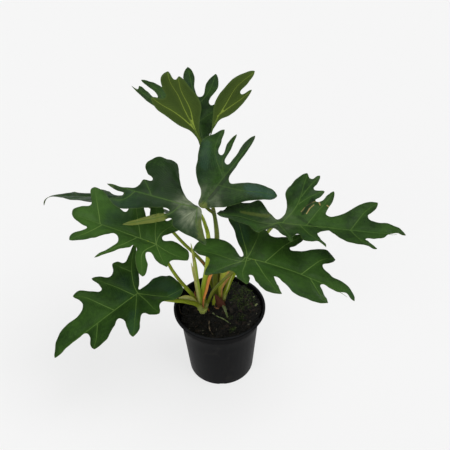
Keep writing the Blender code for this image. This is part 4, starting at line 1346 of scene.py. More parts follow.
def vein_finish(name, look, settings):
    """A vein: paler at its root, sinking into the leaf's green at its end."""
    make = Finish("vein_" + name)
    patch = make.cloud(make.place(), 300, 3)
    fade = make.rise(make.fact("share") + 0.25 * patch, 0.3, 1.15)
    root = [dull * 0.5 + (bright - dull * 0.5) * look.veins
            for dull, bright in zip(settings.dull_vein, settings.vein)]
    end = [dark + (lit - dark) * (0.3 + 0.6 * look.veins)
           for dark, lit in zip(settings.light, settings.halo)]
    return make.done(Base_Color=make.blend(fade, root, end), Roughness=settings.gloss + 0.1,
                     Specular_IOR_Level=settings.shine)


def floor_finish(settings):
    """A plain pale studio floor, with the faintest mottling."""
    make = Finish("studio_floor")
    patch = make.cloud(make.place(), 3, 2)
    return make.done(Base_Color=make.blend(patch * 0.08, settings.floor, settings.mottle),
                     Roughness=0.85 + 0.05 * patch, Specular_IOR_Level=0.0,
                     Emission_Color=(1, 1, 1), Emission_Strength=settings.floor_glow)


# Growing trees


def tube_tree():
    """Turns rows of points into round stems, as thick at each point as the row says."""
    grow = Growth("stems")
    sides = grow.knob("Sides", "Int")
    finish = grow.knob("Finish", "Material")
    rows = grow.node("GeometryNodeMeshToCurve", {}, {"Mesh": grow.start()})
    circle = grow.node("GeometryNodeCurvePrimitiveCircle", {}, {"Resolution": sides, "Radius": 1.0})
    ring = grow.keep(circle, "ring", grow.node("GeometryNodeInputPosition"), "FLOAT_VECTOR")
    sockets = {"Curve": rows, "Profile Curve": ring, "Scale": grow.fact("thick"), "Fill Caps": True}
    stems = grow.node("GeometryNodeCurveToMesh", {}, sockets)
    grow.end(stems, finish)
    return grow


def chance(grow, low, high, seed):
    """A number drawn between two others for each point."""
    sockets = {2: low, 3: high, 8: seed}
    return grow.node("FunctionNodeRandomValue", {"data_type": "FLOAT"}, sockets, out=1)


def scatter_tree(name, grain):
    """Scatters a grain over a sheet, more where the sheet's amount is high."""
    grow = Growth(name)
    density = grow.knob("Density", "Float")
    seed = grow.knob("Seed", "Int")
    small, large, length, height, tilt, rough = [
        grow.knob(knob, "Float")
        for knob in ("Smallest", "Largest", "Length", "Height", "Tilt", "Roughness")]
    finish = grow.knob("Finish", "Material")
    sockets = {"Mesh": grow.start(), "Density": density * grow.fact("amount"), "Seed": seed}
    settings = {"distribute_method": "RANDOM"}
    points = grow.node("GeometryNodeDistributePointsOnFaces", settings, sockets)
    size = chance(grow, 0.0, 1.0, seed + 1)
    size = small + (large - small) * size * size
    lean_x = chance(grow, -1.0, 1.0, seed + 2) * tilt
    lean_y = chance(grow, -1.0, 1.0, seed + 3) * tilt
    euler = grow.three({0: lean_x, 1: lean_y, 2: chance(grow, 0.0, math.tau, seed + 4)})
    turned_by = grow.node("FunctionNodeEulerToRotation", {}, {"Euler": euler})
    scale = grow.three({0: size * length, 1: size, 2: size * height})
    sockets = {"Points": points, "Instance": grain(grow), "Rotation": turned_by, "Scale": scale}
    copies = grow.node("GeometryNodeInstanceOnPoints", {}, sockets)
    real = grow.node("GeometryNodeRealizeInstances", {}, {"Geometry": copies})
    where = grow.node("GeometryNodeInputPosition")
    sockets = {"Vector": where, "Scale": GRAIN_SCALE, "Detail": 2.0}
    lump = grow.node("ShaderNodeTexNoise", {}, sockets, out=1)
    shift = grow.vector("SUBTRACT", {0: lump, 1: (0.5, 0.5, 0.5)})
    shift = grow.vector("SCALE", {0: shift, "Scale": rough})
    moved = grow.node("GeometryNodeSetPosition", {}, {"Geometry": real, "Offset": shift})
    grow.end(moved, finish)
    return grow


def strew(name, tree, sheet, density, seed, sizes, finish, slot):
    """Lays the grains of a scattering tree on a sheet, as one piece."""
    mesh = tree.grown(name, sheet, Density=float(density), Seed=seed, Smallest=sizes.smallest * MM,
                      Largest=sizes.largest * MM, Length=sizes.length, Height=sizes.height,
                      Tilt=sizes.tilt, Roughness=sizes.rough * MM, Finish=finish)
    piece(name, mesh, finish, slot)


def crumb_grain(grow):
    """A lump with flat facets."""
    ball = grow.node("GeometryNodeMeshIcoSphere", {}, {"Radius": 1.0, "Subdivisions": 2})
    return grow.node("GeometryNodeSetShadeSmooth", {}, {"Geometry": ball, "Shade Smooth": False})


def leaflet_grain(grow):
    """A slim pointed leaflet, which knows how high each of its points is."""
    sockets = {"Vertices": 4, "Side Segments": 2, "Radius Top": 0.05, "Radius Bottom": 0.45,
               "Depth": 1.0}
    cone = grow.node("GeometryNodeMeshCone", {"fill_type": "NGON"}, sockets)
    return grow.keep(cone, "height", grow.part(grow.node("GeometryNodeInputPosition"), 2))


def chain_mesh(name, chains):
    """Rows of points as a mesh of edges. Each row has its points and radii in millimetres."""
    points = []
    edges = []
    thick, share, runs, foot = [], [], [], []
    for line, radii in chains:
        start = len(points)
        run = run_of(line)
        points += [tuple(point) for point in line]
        edges += [(start + k, start + k + 1) for k in range(len(line) - 1)]
        thick += list(np.array(radii) * MM)
        share += list(run / run[-1])
        runs += list(run)
        foot += list(1 - smooth_step((run - ROOTED) / FOOT_REACH))
    mesh = new_mesh(name, points, [], edges)
    store(mesh, thick=thick, share=share, run=runs, foot=foot)
    return mesh


def grown_stems(name, chains, finish, sides):
    """Round stems along rows of points, as one plain mesh."""
    mesh = tube_tree().grown(name, chain_mesh(name + "_rows", chains), Sides=sides, Finish=finish)
    tidy_normals(mesh)
    return smoothed(mesh, 50)


# Sizes and colours that a user may change


def size_prop(name, description, default):
    """A size in metres, given in millimetres."""
    return FloatProperty(name=name, description=description, default=default * MM, min=0.0,
                         unit="LENGTH", subtype="DISTANCE", precision=5)


def share_prop(name, description, default):
    """A share from 0 to 1."""
    return FloatProperty(name=name, description=description, default=default, min=0.0, max=1.0,
                         subtype="FACTOR")


def light_prop(name, description, default):
    """The strength of a light."""
    return FloatProperty(name=name, description=description, default=default, min=0.0)


def colour_prop(name, what, default):
    """The colour of something."""
    return FloatVectorProperty(name=name, description="Colour of " + what, default=default,
                               size=3, min=0.0, max=1.0, subtype="COLOR")


class PlantPot(PropertyGroup):
    """The nursery pot"""
    rim_radius: FloatProperty(name="Rim radius", description="Outer radius of the rim",
                              default=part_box("pot")[1][0], unit="LENGTH", subtype="DISTANCE")
    height: FloatProperty(name="Height", description="Height of the pot",
                          default=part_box("pot")[1][2], unit="LENGTH", subtype="DISTANCE")
    wall: size_prop("Wall", "Thickness of the pot's wall", 1.6)
    sides: IntProperty(name="Sides", description="Sides of the turned body", default=144, min=24)
    colour: colour_prop("Plastic", "the plastic", (0.0048, 0.0050, 0.0054))
    shine: share_prop("Shine", "How strongly the plastic reflects", 0.05)
    # Colour of the painted shade on the collar
    shade: colour_prop("Collar", "the collar's dull skin", (0.001, 0.001, 0.001))
    # Colour of the painted highlight along the lip
    lip: colour_prop("Lip", "the rubbed lip", (0.020, 0.021, 0.023))
    dust: colour_prop("Dust", "the dust on the plastic", (0.05, 0.047, 0.04))


class PlantMix(PropertyGroup):
    """The potting mix and what lies on it"""
    crumbs: IntProperty(name="Crumbs", description="Crumbs for each square metre", default=150000)
    chips: IntProperty(name="Chips", description="Bark chips for each square metre", default=22000)
    leaflets: IntProperty(name="Moss leaflets", default=1200000,
                          description="Leaflets for each square metre of moss")
    seed: IntProperty(name="Seed", description="Seed of the scattering", default=11)
    colour: colour_prop("Mix", "the damp mix", (0.0040, 0.0038, 0.0030))
    crumb: colour_prop("Crumb", "the paler crumbs", (0.024, 0.019, 0.013))
    speck: colour_prop("Speck", "the rare pale specks", (0.16, 0.15, 0.11))
    chip: colour_prop("Bark", "the bark chips", (0.034, 0.020, 0.012))
    moss: colour_prop("Moss", "the moss", (0.006, 0.014, 0.003))
    moss_tip: colour_prop("Moss tips", "the moss's tips", (0.120, 0.190, 0.038))
    root: colour_prop("Root", "the dry root", (0.40, 0.30, 0.20))
    seed_green: colour_prop("Stubs", "the green stubs", (0.30, 0.33, 0.18))
    grain: colour_prop("Seeds", "the seeds", (0.19, 0.23, 0.045))


class PlantBlade(PropertyGroup):
    """The leaf blades"""
    thickness: size_prop("Thickness", "Thickness of a blade", 0.6)
    grid: size_prop("Grid", "Distance between the points inside a blade", 2.6)
    edge_step: size_prop("Edge step", "Distance between the points of a blade's edge", 1.6)
    pucker: size_prop("Pucker", "How far a blade quilts up between its veins", 1.5)
    ruffle: size_prop("Ruffle", "How far a blade's edge waves up and down", 0.9)
    gloss: share_prop("Roughness", "Roughness of a blade's upper face", 0.36)
    shine: share_prop("Shine", "How strongly a blade reflects", 0.13)
    deep: colour_prop("Deep green", "the darkest leaves", (0.0090, 0.0270, 0.0050))
    light: colour_prop("Light green", "the lightest leaves", (0.044, 0.112, 0.015))
    # Colour of the painted bluish sheen in patches
    patchy_sheen: colour_prop("Bloom", "the bluish patches", (0.014, 0.046, 0.024))
    halo: colour_prop("Halo", "the skin beside a vein", (0.042, 0.105, 0.013))
    margin: colour_prop("Edge", "the thin edge", (0.070, 0.115, 0.024))
    sheen: colour_prop("Sheen", "the grey streaks by a joint", (0.300, 0.340, 0.220))
    # Colour of the painted bluish sheen on marked stretches
    blue: colour_prop("Blue", "the bluish stretches", (0.026, 0.072, 0.046))
    # Colour of the painted shade in creases
    shade: colour_prop("Crease", "the dark creases", (0.006, 0.016, 0.004))
    scar: colour_prop("Scar", "the dry scars", (0.400, 0.290, 0.120))
    pale: colour_prop("Pale lobe", "the yellowish lobes", (0.130, 0.160, 0.028))
    dull_vein: colour_prop("Dull vein", "the darkest veins", (0.058, 0.125, 0.022))
    vein: colour_prop("Vein", "the brightest veins", (0.150, 0.260, 0.056))
    underside: colour_prop("Underside", "the underside", (0.032, 0.058, 0.008))
    under_pale: colour_prop("Pale parts", "the paler parts below", (0.072, 0.112, 0.013))
    under_vein: colour_prop("Under veins", "the veins below", (0.250, 0.330, 0.045))


class PlantStalk(PropertyGroup):
    """The crowns, stalks and sheaths"""
    sides: IntProperty(name="Sides", description="Sides of a stalk", default=20, min=6)
    sheath: size_prop("Sheath", "Thickness of a sheath", 0.5)
    shine: share_prop("Shine", "How strongly a stalk reflects", 0.18)
    green: colour_prop("Green", "a fresh stalk", (0.250, 0.370, 0.010))
    pale: colour_prop("Pale green", "a stalk's streaks", (0.430, 0.510, 0.040))
    dull: colour_prop("Dull green", "an older stalk", (0.055, 0.088, 0.008))
    tan: colour_prop("Tan", "a stalk's weathered side", (0.190, 0.150, 0.030))
    crown: colour_prop("Crown", "the crowns", (0.460, 0.560, 0.090))
    crown_pale: colour_prop("Pale crown", "a crown's swellings", (0.640, 0.690, 0.240))
    scale: colour_prop("Scale", "the brown scales and flecks", (0.080, 0.028, 0.016))
    husk: colour_prop("Husk", "the curled brown husk", (0.200, 0.070, 0.040))
    orange: colour_prop("Orange", "the dried sheath's bright side", (0.780, 0.330, 0.060))
    blush: colour_prop("Blush", "a sheath's pinkish side", (0.560, 0.290, 0.090))
    cream: colour_prop("Cream", "the thin membranes", (0.600, 0.620, 0.220))
    old: colour_prop("Old sheath", "the pale old sheath", (0.560, 0.570, 0.130))
    dry: colour_prop("Dry sheath", "the dried sheath", (0.560, 0.190, 0.025))
    broad: colour_prop("Broad sheath", "the broad sheath", (0.330, 0.370, 0.035))


class PlantStage(PropertyGroup):
    """The floor, the light and the camera"""
    floor: colour_prop("Floor", "the floor", (0.22, 0.22, 0.22))
    mottle: colour_prop("Mottling", "the floor's faint mottling", (0.26, 0.26, 0.26))
    floor_glow: light_prop("Floor glow", "Light that the floor gives out", 0.712)
    key: light_prop("Key light", "Strength of the light from the right", 1.9)
    fill: light_prop("Fill light", "Strength of the light from the front and left", 1.3)
    back: light_prop("Back light", "Strength of the light from behind", 0.3)
    sky: light_prop("Sky", "Strength of the light from all round", 0.14)
    lens: FloatProperty(name="Lens", description="Focal length of the camera", default=56.0,
                        unit="CAMERA")
    sensor: FloatProperty(name="Sensor", description="Width of the camera's sensor", default=36.0,
                          unit="CAMERA")


# Pieces


def soil_height(x, y):
    """The mix's height at a place, in millimetres: waves, and a heap round each crown."""
    waves = sum(share * math.sin(x * MM * along + y * MM * across + phase)
                for along, across, phase, share in SOIL_WAVES)
    heap = sum(math.exp(-((x - a) ** 2 + (y - b) ** 2) / HEAP_REACH ** 2)
               for a, b in CROWNS.values())
    return SOIL_TOP + SOIL_RELIEF * waves + HEAP * heap


def bank_height(x, y):
    """How far the heap against the pot's wall, at the back right, stands above the mix."""
    turned = math.degrees(math.atan2(y, x)) - BANK_TURN
    side = float(smooth_step((BANK_SPAN - abs(turned)) / BANK_EASE))
    out = float(smooth_step((math.hypot(x, y) - BANK_START) / (MIX_RADIUS - BANK_START)))
    return BANK * side * out


def ground(x, y):
    """The point of the mix's surface over a place. The heap leans out to meet the flared wall."""
    bank = bank_height(x, y)
    z = soil_height(x, y) + mix_relief(x, y) + bank
    out = 1 + BANK_FLARE * bank / BANK
    return x * out, y * out, z


def inner_radius(z, pot):
    """The pot's inner radius at a height, all in millimetres: a taper, then the flared collar."""
    collar = pot.height / MM - COLLAR_HEIGHT
    wall = pot.wall / MM
    if z < collar:
        return FOOT_RADIUS + (BODY_TOP_RADIUS - FOOT_RADIUS) * z / collar - wall
    foot = BODY_TOP_RADIUS + COLLAR_STEP
    return foot + (pot.rim_radius / MM - wall - foot) * (z - collar) / COLLAR_HEIGHT - wall


def arc(centre, radius, start, stop, count):
    """Points of an arc in a profile, from one angle to another in degrees."""
    angles = np.radians(np.linspace(start, stop, count))
    return [(centre[0] + radius * math.cos(a), centre[1] + radius * math.sin(a)) for a in angles]


def pot_profile(pot):
    """The pot's outline: foot, tapered wall, the collar's step, rolled rim and the inside."""
    high = pot.height / MM
    rim = pot.rim_radius / MM
    wall = pot.wall / MM
    collar = high - COLLAR_HEIGHT
    outside = [(0, 0), (FOOT_RADIUS - 4, 0)]
    outside += arc((FOOT_RADIUS - FOOT_ROUND, FOOT_ROUND), FOOT_ROUND, -90, 0, 5)
    outside += [(FOOT_RADIUS + (BODY_TOP_RADIUS - FOOT_RADIUS) * z / collar, z)
                for z in np.linspace(4, collar - COLLAR_STEP - 1.5, 8)]
    outside += arc((BODY_TOP_RADIUS + 1.4, collar - FOOT_ROUND), FOOT_ROUND, 160, 90, 4)
    outside += arc((BODY_TOP_RADIUS + COLLAR_STEP - STEP_ROUND, collar + STEP_ROUND), STEP_ROUND,
                   -60, 0, 4)
    outside += [(BODY_TOP_RADIUS + COLLAR_STEP + (rim - wall - BODY_TOP_RADIUS - COLLAR_STEP) * t,
                 collar + (COLLAR_HEIGHT - RIM_LIP - STEP_ROUND) * t)
                for t in (0.1, 0.4, 0.7, 0.95)]
    lip = wall * 0.75
    outside += arc((rim - lip, high - RIM_LIP + 0.3), lip, -50, 0, 4)
    outside += arc((rim - lip, high - lip), lip, 0, 90, 7)
    outside += arc((rim - wall * 2 + STEP_ROUND, high - STEP_ROUND), STEP_ROUND, 90, 180, 4)
    inside_wall = [(inner_radius(z, pot), z) for z in np.linspace(high - RIM_LIP, collar + 1, 5)]
    lower = [(inner_radius(z, pot), z) for z in np.linspace(collar - 2 * COLLAR_STEP, 5, 6)]
    floor = [(inner_radius(POT_FLOOR, pot) - 2, POT_FLOOR), (0, POT_FLOOR)]
    return outside + inside_wall + lower + floor


def shifted(mesh, x, y):
    """Moves a mesh's points sideways, by millimetres."""
    mesh.transform(Matrix.Translation((x * MM, y * MM, 0)))
    return mesh


def block_mesh(name, size):
    """A small block about the origin, for cutting."""
    body = bmesh.new()
    bmesh.ops.create_cube(body, size=1.0)
    bmesh.ops.scale(body, vec=[side * MM for side in size], verts=body.verts)
    return mesh_from(name, body)


def joined(name, meshes):
    """Meshes put together in one."""
    body = bmesh.new()
    for mesh in meshes:
        body.from_mesh(mesh)
    return mesh_from(name, body)


def carved(name, mesh, tool_mesh):
    """A mesh with a tool's body cut away."""
    holder = put(name + "_blank", mesh)
    tool = put(name + "_tool", tool_mesh)
    boolean = holder.modifiers.new("cut", "BOOLEAN")
    boolean.operation = "DIFFERENCE"
    boolean.solver = "EXACT"
    boolean.object = tool
    result = settled(name, holder)
    bpy.data.objects.remove(tool, do_unlink=True)
    return result


def pot_tools():
    """The drain holes and the foot's notches, as bodies to cut away."""
    tools = []
    for k in range(DRAIN_COUNT):
        angle = math.tau * (k + 0.5) / DRAIN_COUNT
        drill = turned_mesh("drain", [(0, -3), (DRAIN_RADIUS, -3), (DRAIN_RADIUS, 6), (0, 6)], 32)
        tools.append(shifted(drill, DRAIN_CIRCLE * math.cos(angle), DRAIN_CIRCLE * math.sin(angle)))
    for k in range(NOTCH_COUNT):
        notch = block_mesh("notch", (2 * NOTCH_DEPTH, NOTCH_WIDTH, 2 * NOTCH_DEPTH))
        notch.transform(Matrix.Rotation(math.tau * k / NOTCH_COUNT, 4, "Z")
                        @ Matrix.Translation((FOOT_RADIUS * MM, 0, 0)))
        tools.append(notch)
    return joined("pot_tools", tools)


def mix_relief(x, y):
    """How far the mix's lumps, coarse and fine, stand up at a place, in millimetres."""
    return sum(height * noise.noise(Vector((x, y, layer)) / run)
               for height, run, layer in MIX_LUMPS)


def mix_mesh(pot):
    """The body of the mix, with a lumpy top."""
    floor = POT_FLOOR + 0.3
    profile = [(0, floor), (inner_radius(POT_FLOOR, pot) - 5, floor)]
    profile += [(inner_radius(z, pot) - MIX_GAP, z) for z in (8, 90)]
    profile += [(MIX_RADIUS - MIX_GAP, 95)]
    profile += [(MIX_RADIUS * share, SOIL_TOP) for share in np.linspace(1, 0, MIX_RINGS)]
    mesh = turned_mesh("mix", profile, MIX_SIDES)
    for vertex in mesh.vertices:
        if vertex.co.z > (SOIL_TOP - 1) * MM:
            x, y = vertex.co.x / MM, vertex.co.y / MM
            vertex.co.z = (soil_height(x, y) + mix_relief(x, y)) * MM
    return smoothed(mesh)


def bank_mesh():
    """The heap against the wall, as a body closed below. Its low edge sinks into the mix."""
    points = []
    for angle in np.radians(np.linspace(BANK_TURN - BANK_SPAN, BANK_TURN + BANK_SPAN, BANK_ROWS)):
        line = [(math.cos(angle) * away, math.sin(angle) * away)
                for away in np.linspace(BANK_START, MIX_RADIUS, BANK_POINTS)]
        for x, y in line:
            a, b, c = ground(x, y)
            points.append((a, b, c - BANK_SINK * (1 - min(bank_height(x, y), 1.0))))
        points += [(x, y, SOIL_TOP - BANK_ROOT) for x, y in reversed(line)]
    wide = 2 * BANK_POINTS
    last = (BANK_ROWS - 1) * wide
    faces = [(a + k, a + (k + 1) % wide, a + wide + (k + 1) % wide, a + wide + k)
             for a in range(0, last, wide) for k in range(wide)]
    faces += [tuple(range(wide)), tuple(range(last, last + wide))]
    mesh = new_mesh("bank", points, faces)
    tidy_normals(mesh)
    return smoothed(mesh)


def mix_sheet(name, reach, amount=None):
    """The mix's top as an open sheet that says how much grows at each point."""
    points = []
    amounts = []
    for x in np.linspace(-reach, reach, SHEET_POINTS):
        for y in np.linspace(-reach, reach, SHEET_POINTS):
            points.append(ground(x, y))
            within = math.hypot(x, y) < reach
            amounts.append(float(within) if amount is None or not within else amount(x, y))
    faces = [(a, a + SHEET_POINTS, a + SHEET_POINTS + 1, a + 1)
             for a in grid_corners(SHEET_POINTS, SHEET_POINTS)]
    mesh = new_mesh(name, points, faces)
    store(mesh, amount=amounts)
    return mesh


def moss_amount(x, y):
    """How thickly the moss grows at a place: in patches, ragged at their edges."""
    ragged = MOSS_RAGGED * noise.noise(Vector((x, y, 1)) / MOSS_RUN)
    return max(float(smooth_step(MOSS_EDGE - math.hypot(x - spot_x, y - spot_y) / reach + ragged))
               for spot_x, spot_y, reach in MOSS_PATCHES)


def crown_mesh(name, place, share):
    """A crown's knuckle: a buried neck that swells and is ringed by old leaf scars."""
    knots = [(CROWN_RADIUS, -CROWN_DEPTH), (CROWN_RADIUS, -2)] + CROWN_OUTLINE
    outline = evenly(np.array(knots, float), CROWN_STEP)
    ringed = []
    for radius, z in [(0, -CROWN_DEPTH)] + [tuple(point) for point in outline]:
        ridged = z > -1 and radius > 2
        ridge = CROWN_RIDGE * abs(math.sin(z * CROWN_RINGS)) ** 3 if ridged else 0.0
        ringed.append(((radius + ridge) * share, SOIL_TOP + z))
    ringed[-1] = (0, ringed[-1][1])
    mesh = turned_mesh(name, ringed, CROWN_SIDES)
    for vertex in mesh.vertices:
        x, y = vertex.co.x / MM, vertex.co.y / MM
        lump = noise.noise(Vector((x, y, vertex.co.z / MM * CROWN_SQUASH)) / CROWN_RUN)
        if vertex.co.z > SOIL_TOP * MM:
            vertex.co.x *= 1 + CROWN_LUMP * lump
            vertex.co.y *= 1 + CROWN_LUMP * lump
    return shifted(smoothed(mesh), *place)


# Operators


class PlantStep:
    """What all the steps share"""
    bl_options = {"REGISTER", "UNDO"}


class PLANT_OT_pot(PlantStep, Operator):
    """Makes the nursery pot with its rolled rim, drain holes and foot notches"""
    bl_idname = "plant.pot"
    bl_label = "Pot"

    def execute(self, context):
        pot = context.scene.plant_pot
        blank = turned_mesh("pot_blank", pot_profile(pot), pot.sides)
        mesh = smoothed(carved("pot_body", blank, pot_tools()), 35)
        piece("pot_body", mesh, plastic_finish(pot), "pot_plastic", "pot")
        return {"FINISHED"}


class PLANT_OT_mix(PlantStep, Operator):
    """Fills the pot with mix, and scatters crumbs, bark chips and moss on it"""
    bl_idname = "plant.mix"
    bl_label = "Potting mix"

    def execute(self, context):
        mix = context.scene.plant_mix
        damp = mix_finish(mix)
        piece("mix_body", mix_mesh(context.scene.plant_pot), damp, "potting_mix", "soil")
        piece("mix_bank", bank_mesh(), damp, "potting_mix")
        crumbs = scatter_tree("crumbs", crumb_grain)
        sheet = mix_sheet("mix_sheet", MIX_RADIUS - 0.5)
        strew("mix_crumbs", crumbs, sheet, mix.crumbs, mix.seed, CRUMB_SIZES, damp, "potting_mix")
        bark = chip_finish("bark_chip", mix.colour, mix.chip)
        sheet = mix_sheet("chip_sheet", SOIL_RADIUS - 2)
        strew("mix_chips", crumbs, sheet, mix.chips, mix.seed + 20, CHIP_SIZES, bark, "bark")
        green = moss_finish(mix)
        tufts = scatter_tree("moss", leaflet_grain)
        sheet = mix_sheet("moss_sheet", MIX_RADIUS - 1, moss_amount)
        strew("moss_tufts", tufts, sheet, mix.leaflets, mix.seed + 40, MOSS_SIZES, green,
              "potting_mix")
        return {"FINISHED"}


class PLANT_OT_litter(PlantStep, Operator):
    """Lays the dry root, the green stubs, the larger bark chips and the seeds on the mix"""
    bl_idname = "plant.litter"
    bl_label = "Loose bits"

    def execute(self, context):
        mix = context.scene.plant_mix
        root = chip_finish("dry_root", mix.crumb, mix.root)
        stub = chip_finish("green_stub", mix.moss_tip, mix.seed_green)
        bark = chip_finish("large_bark", mix.crumb, mix.chip)
        looks = {"root": (root, "root"), "twig": (stub, "twig"), "stub": (stub, "twig"),
                 "bark": (bark, "bark")}
        for name, bit in BITS.items():
            finish, slot = looks[name.split("_")[0]]
            low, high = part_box(name)
            level = (low[2] + high[2]) / 2 / MM
            line = spline([(*point, level)[:3] for point in bit.route], BIT_STEP)
            share = run_of(line) / run_of(line)[-1]
            wobble = np.array([noise.noise(Vector(point) / BIT_RUN) for point in line])
            radii = (bit.foot + (bit.top - bit.foot) * share) * (1 + BIT_WOBBLE * wobble)
            if slot == "bark":
                mesh = strip_mesh(name + "_chip", line, radii * BARK_WIDER, BARK_CUP, (0, 0, 1),
                                  BARK_THICK)
            else:
                mesh = grown_stems(name + "_stem", [(line, radii)], finish, BIT_SIDES)
            piece(name + "_bit", mesh, finish, slot, name)
        chains = []
        for x, y, length in SEEDS:
            share = np.linspace(-1, 1, SEED_POINTS)
            a, b, level = ground(x, y)
            line = [(a + length * at / 2, b + length * at / 3, level + length * 0.25)
                    for at in share]
            radii = SEED_TIP + length * SEED_GIRTH * np.sqrt(1 - share ** 2)
            chains.append((np.array(line), radii))
        grain = chip_finish("seed", mix.seed_green, mix.grain)
        piece("seeds", grown_stems("seeds", chains, grain, SEED_SIDES), grain, "twig")
        return {"FINISHED"}


class PLANT_OT_crowns(PlantStep, Operator):
    """Makes the two ringed crowns, with short brown scales round them"""
    bl_idname = "plant.crowns"
    bl_label = "Crowns"

    def execute(self, context):
        stalk = context.scene.plant_stalk
        for name, base, share in (("front", stalk.crown, 0.82), ("back", stalk.tan, 1.0)):
            crown = "crown_" + name
            mesh = crown_mesh(crown, CROWNS[name], share)
            piece(crown + "_knuckle", mesh, crown_finish(name, base, stalk), "crown", crown)
        brown = sheath_finish("brown_scale", stalk.scale, stalk.dry, stalk.scale, 0.6)
        for name, (crown, angle, height, width) in SCALES.items():
            x, y = CROWNS[crown]
            way = (math.cos(math.radians(angle)), math.sin(math.radians(angle)))
            line = spline([(x + way[0] * out, y + way[1] * out, SOIL_TOP + up * height)
                           for out, up in SCALE_LEAN], BIT_STEP)
            widths = width * (1 - np.linspace(0, 1, len(line)) ** 2.2) + SCALE_TIP
            mesh = strip_mesh(name, line, widths, SCALE_CUP, (*way, 0.2), SCALE_THICK)
            piece(name, mesh, brown, "sheath_dried")
        return {"FINISHED"}


class PLANT_OT_stalks(PlantStep, Operator):
    """Grows the eight petioles from their crowns to their leaves"""
    bl_idname = "plant.stalks"
    bl_label = "Petioles"

    def execute(self, context):
        settings = context.scene.plant_stalk
        for name, stalk in PETIOLES.items():
            look = LOOKS[name]
            finish = stalk_finish(name, look, settings)
            chain = petiole_line(LEAVES[name], stalk, look.thicker)
            mesh = grown_stems(name + "_stalk", [chain], finish, settings.sides)
            piece(name + "_stalk", mesh, finish, "petiole", name + "_petiole")
        return {"FINISHED"}


class PLANT_OT_sheaths(PlantStep, Operator):
    """Makes the three old leaf sheaths, cupped and curled at their tips, the thin flaps, and a pale
    strip of painted highlight on the right petiole
    """
    bl_idname = "plant.sheaths"
    bl_label = "Sheaths"

    def execute(self, context):
        stalk = context.scene.plant_stalk
        thick = stalk.sheath / MM
        looks = {
            "old": ("old_sheath", stalk.old, stalk.crown_pale, stalk.tan, 0.5, stalk.green),
            "dried": ("dried_sheath", stalk.dry, stalk.orange, stalk.husk, 0.6, stalk.orange, 1.4),
            "fresh": ("fresh_sheath", stalk.broad, stalk.pale, stalk.tan, 0.42, stalk.blush),
            "brown": ("flap_brown", stalk.husk, stalk.scale, stalk.husk, 0.5),
            "pink": ("flap_pink", stalk.husk, stalk.blush, stalk.scale, 0.5),
            "lime": ("flap_lime", stalk.pale, stalk.pale, stalk.green, 0.5),
            "cream": ("flap_cream", stalk.cream, stalk.cream, stalk.tan, 0.5, stalk.old),
            "red": ("flap_red", stalk.scale, stalk.dry, stalk.scale, 0.5),
            # The pale strip of painted highlight on the right petiole
            "white": ("flap_white", stalk.cream, stalk.cream, stalk.pale, 0.5, stalk.cream),
        }
        looks = {look: sheath_finish(*values) for look, values in looks.items()}
        for name, strip in {**SHEATHS, **FLAPS}.items():
            sheath = name in SHEATHS
            rows = spline(strip.route, SHEATH_STEP if sheath else FLAP_STEP)
            made = name + "_strip" if sheath else name
            mesh = strip_mesh(made, rows[:, :3], rows[:, 3], strip.cup, strip.facing, thick,
                              strip.twist)
            if sheath:
                piece(made, mesh, looks[strip.look], "sheath_" + strip.look, name)
            else:
                piece(made, mesh, looks[strip.look], "sheath_old")
        return {"FINISHED"}


class PLANT_OT_blades(PlantStep, Operator):
    """Spreads the eight lobed leaf blades with their veins"""
    bl_idname = "plant.blades"
    bl_label = "Leaf blades"

    def execute(self, context):
        settings = context.scene.plant_blade
        for name, leaf in LEAVES.items():
            look = LOOKS[name]
            surface = Surface(leaf, look.ruffle, settings)
            skin = blade_finish(name, look, settings)
            piece(name + "_skin", blade_mesh(name + "_skin", surface, settings), skin, "blade",
                  name + "_blade")
            chains = []
            for flat, radii in surface.veins:
                sink = settings.thickness / MM / 2 + VEIN_PROUD - radii
                chains.append((surface.place(flat, sink), radii))
            vein = vein_finish(name, look, settings)
            mesh = grown_stems(name + "_veins", chains, vein, VEIN_SIDES)
            piece(name + "_veins", mesh, vein, "blade")
        return {"FINISHED"}


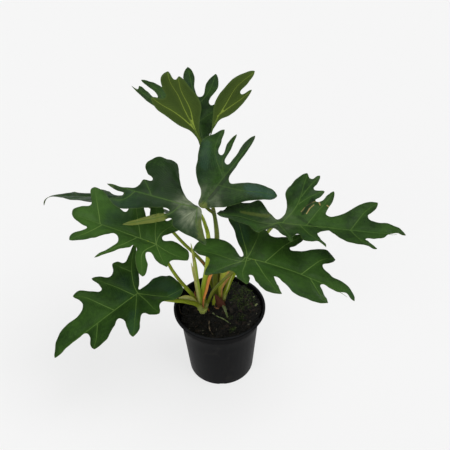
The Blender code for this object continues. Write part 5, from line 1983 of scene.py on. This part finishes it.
class PLANT_OT_stage(PlantStep, Operator):
    """Lays the pale floor and sets the soft lights and the camera"""
    bl_idname = "plant.stage"
    bl_label = "Stage"

    def execute(self, context):
        scene = context.scene
        stage = scene.plant_stage
        body = bmesh.new()
        bmesh.ops.create_circle(body, cap_ends=True, radius=FLOOR_RADIUS, segments=FLOOR_SIDES)
        mesh = mesh_from("studio_floor", body)
        mesh.materials.append(floor_finish(stage))
        put("studio_floor", mesh)
        for name, (azimuth, height, spread) in LIGHTS.items():
            lamp = bpy.data.lights.new(name, "SUN")
            lamp.energy = getattr(stage, name)
            lamp.angle = math.radians(spread)
            put(name, lamp).rotation_euler = (math.radians(90 - height), 0, math.radians(azimuth))
        world = bpy.data.worlds.new("studio")
        world.use_nodes = True
        sky = world.node_tree.nodes["Background"]
        sky.inputs["Color"].default_value = (1, 1, 1, 1)
        sky.inputs["Strength"].default_value = stage.sky
        scene.world = world
        scene.view_settings.view_transform = "Standard"
        camera = bpy.data.cameras.new("camera")
        camera.lens = stage.lens
        camera.sensor_width = stage.sensor
        scene.camera = put("camera", camera)
        tilt = Matrix.Rotation(math.radians(90 - CAMERA_DOWN), 4, "X")
        roll = Matrix.Rotation(math.radians(CAMERA_ROLL), 4, "Z")
        scene.camera.matrix_world = Matrix.Translation(CAMERA_PLACE) @ tilt @ roll
        return {"FINISHED"}


class PLANT_PT_sidebar(Panel):
    """Lists the steps that make the plant"""
    bl_idname = "PLANT_PT_sidebar"
    bl_label = "Potted plant"
    bl_space_type = "VIEW_3D"
    bl_region_type = "UI"
    bl_category = "Plant"

    def draw(self, context):
        for group, steps in PANEL_ROWS.items():
            box = self.layout.box()
            for step in steps:
                box.operator("plant." + step)
            settings = getattr(context.scene, group)
            for name in settings.bl_rna.properties.keys():
                if name not in ("rna_type", "name"):
                    box.prop(settings, name)


GROUPS = {"plant_pot": PlantPot, "plant_mix": PlantMix, "plant_blade": PlantBlade,
          "plant_stalk": PlantStalk, "plant_stage": PlantStage}
PANEL_ROWS = {"plant_pot": ["pot"], "plant_mix": ["mix", "litter"],
              "plant_stalk": ["crowns", "stalks", "sheaths"], "plant_blade": ["blades"],
              "plant_stage": ["stage"]}
CLASSES = (*GROUPS.values(), PLANT_OT_pot, PLANT_OT_mix, PLANT_OT_litter, PLANT_OT_crowns,
           PLANT_OT_stalks, PLANT_OT_sheaths, PLANT_OT_blades, PLANT_OT_stage, PLANT_PT_sidebar)


def register():
    for made in CLASSES:
        bpy.utils.register_class(made)
    for name, group in GROUPS.items():
        setattr(bpy.types.Scene, name, PointerProperty(type=group))


def unregister():
    for name in GROUPS:
        delattr(bpy.types.Scene, name)
    for made in reversed(CLASSES):
        bpy.utils.unregister_class(made)


def main():
    """Runs every step in order."""
    register()
    for steps in PANEL_ROWS.values():
        for step in steps:
            getattr(bpy.ops.plant, step)()


if __name__ == "__main__":
    main()
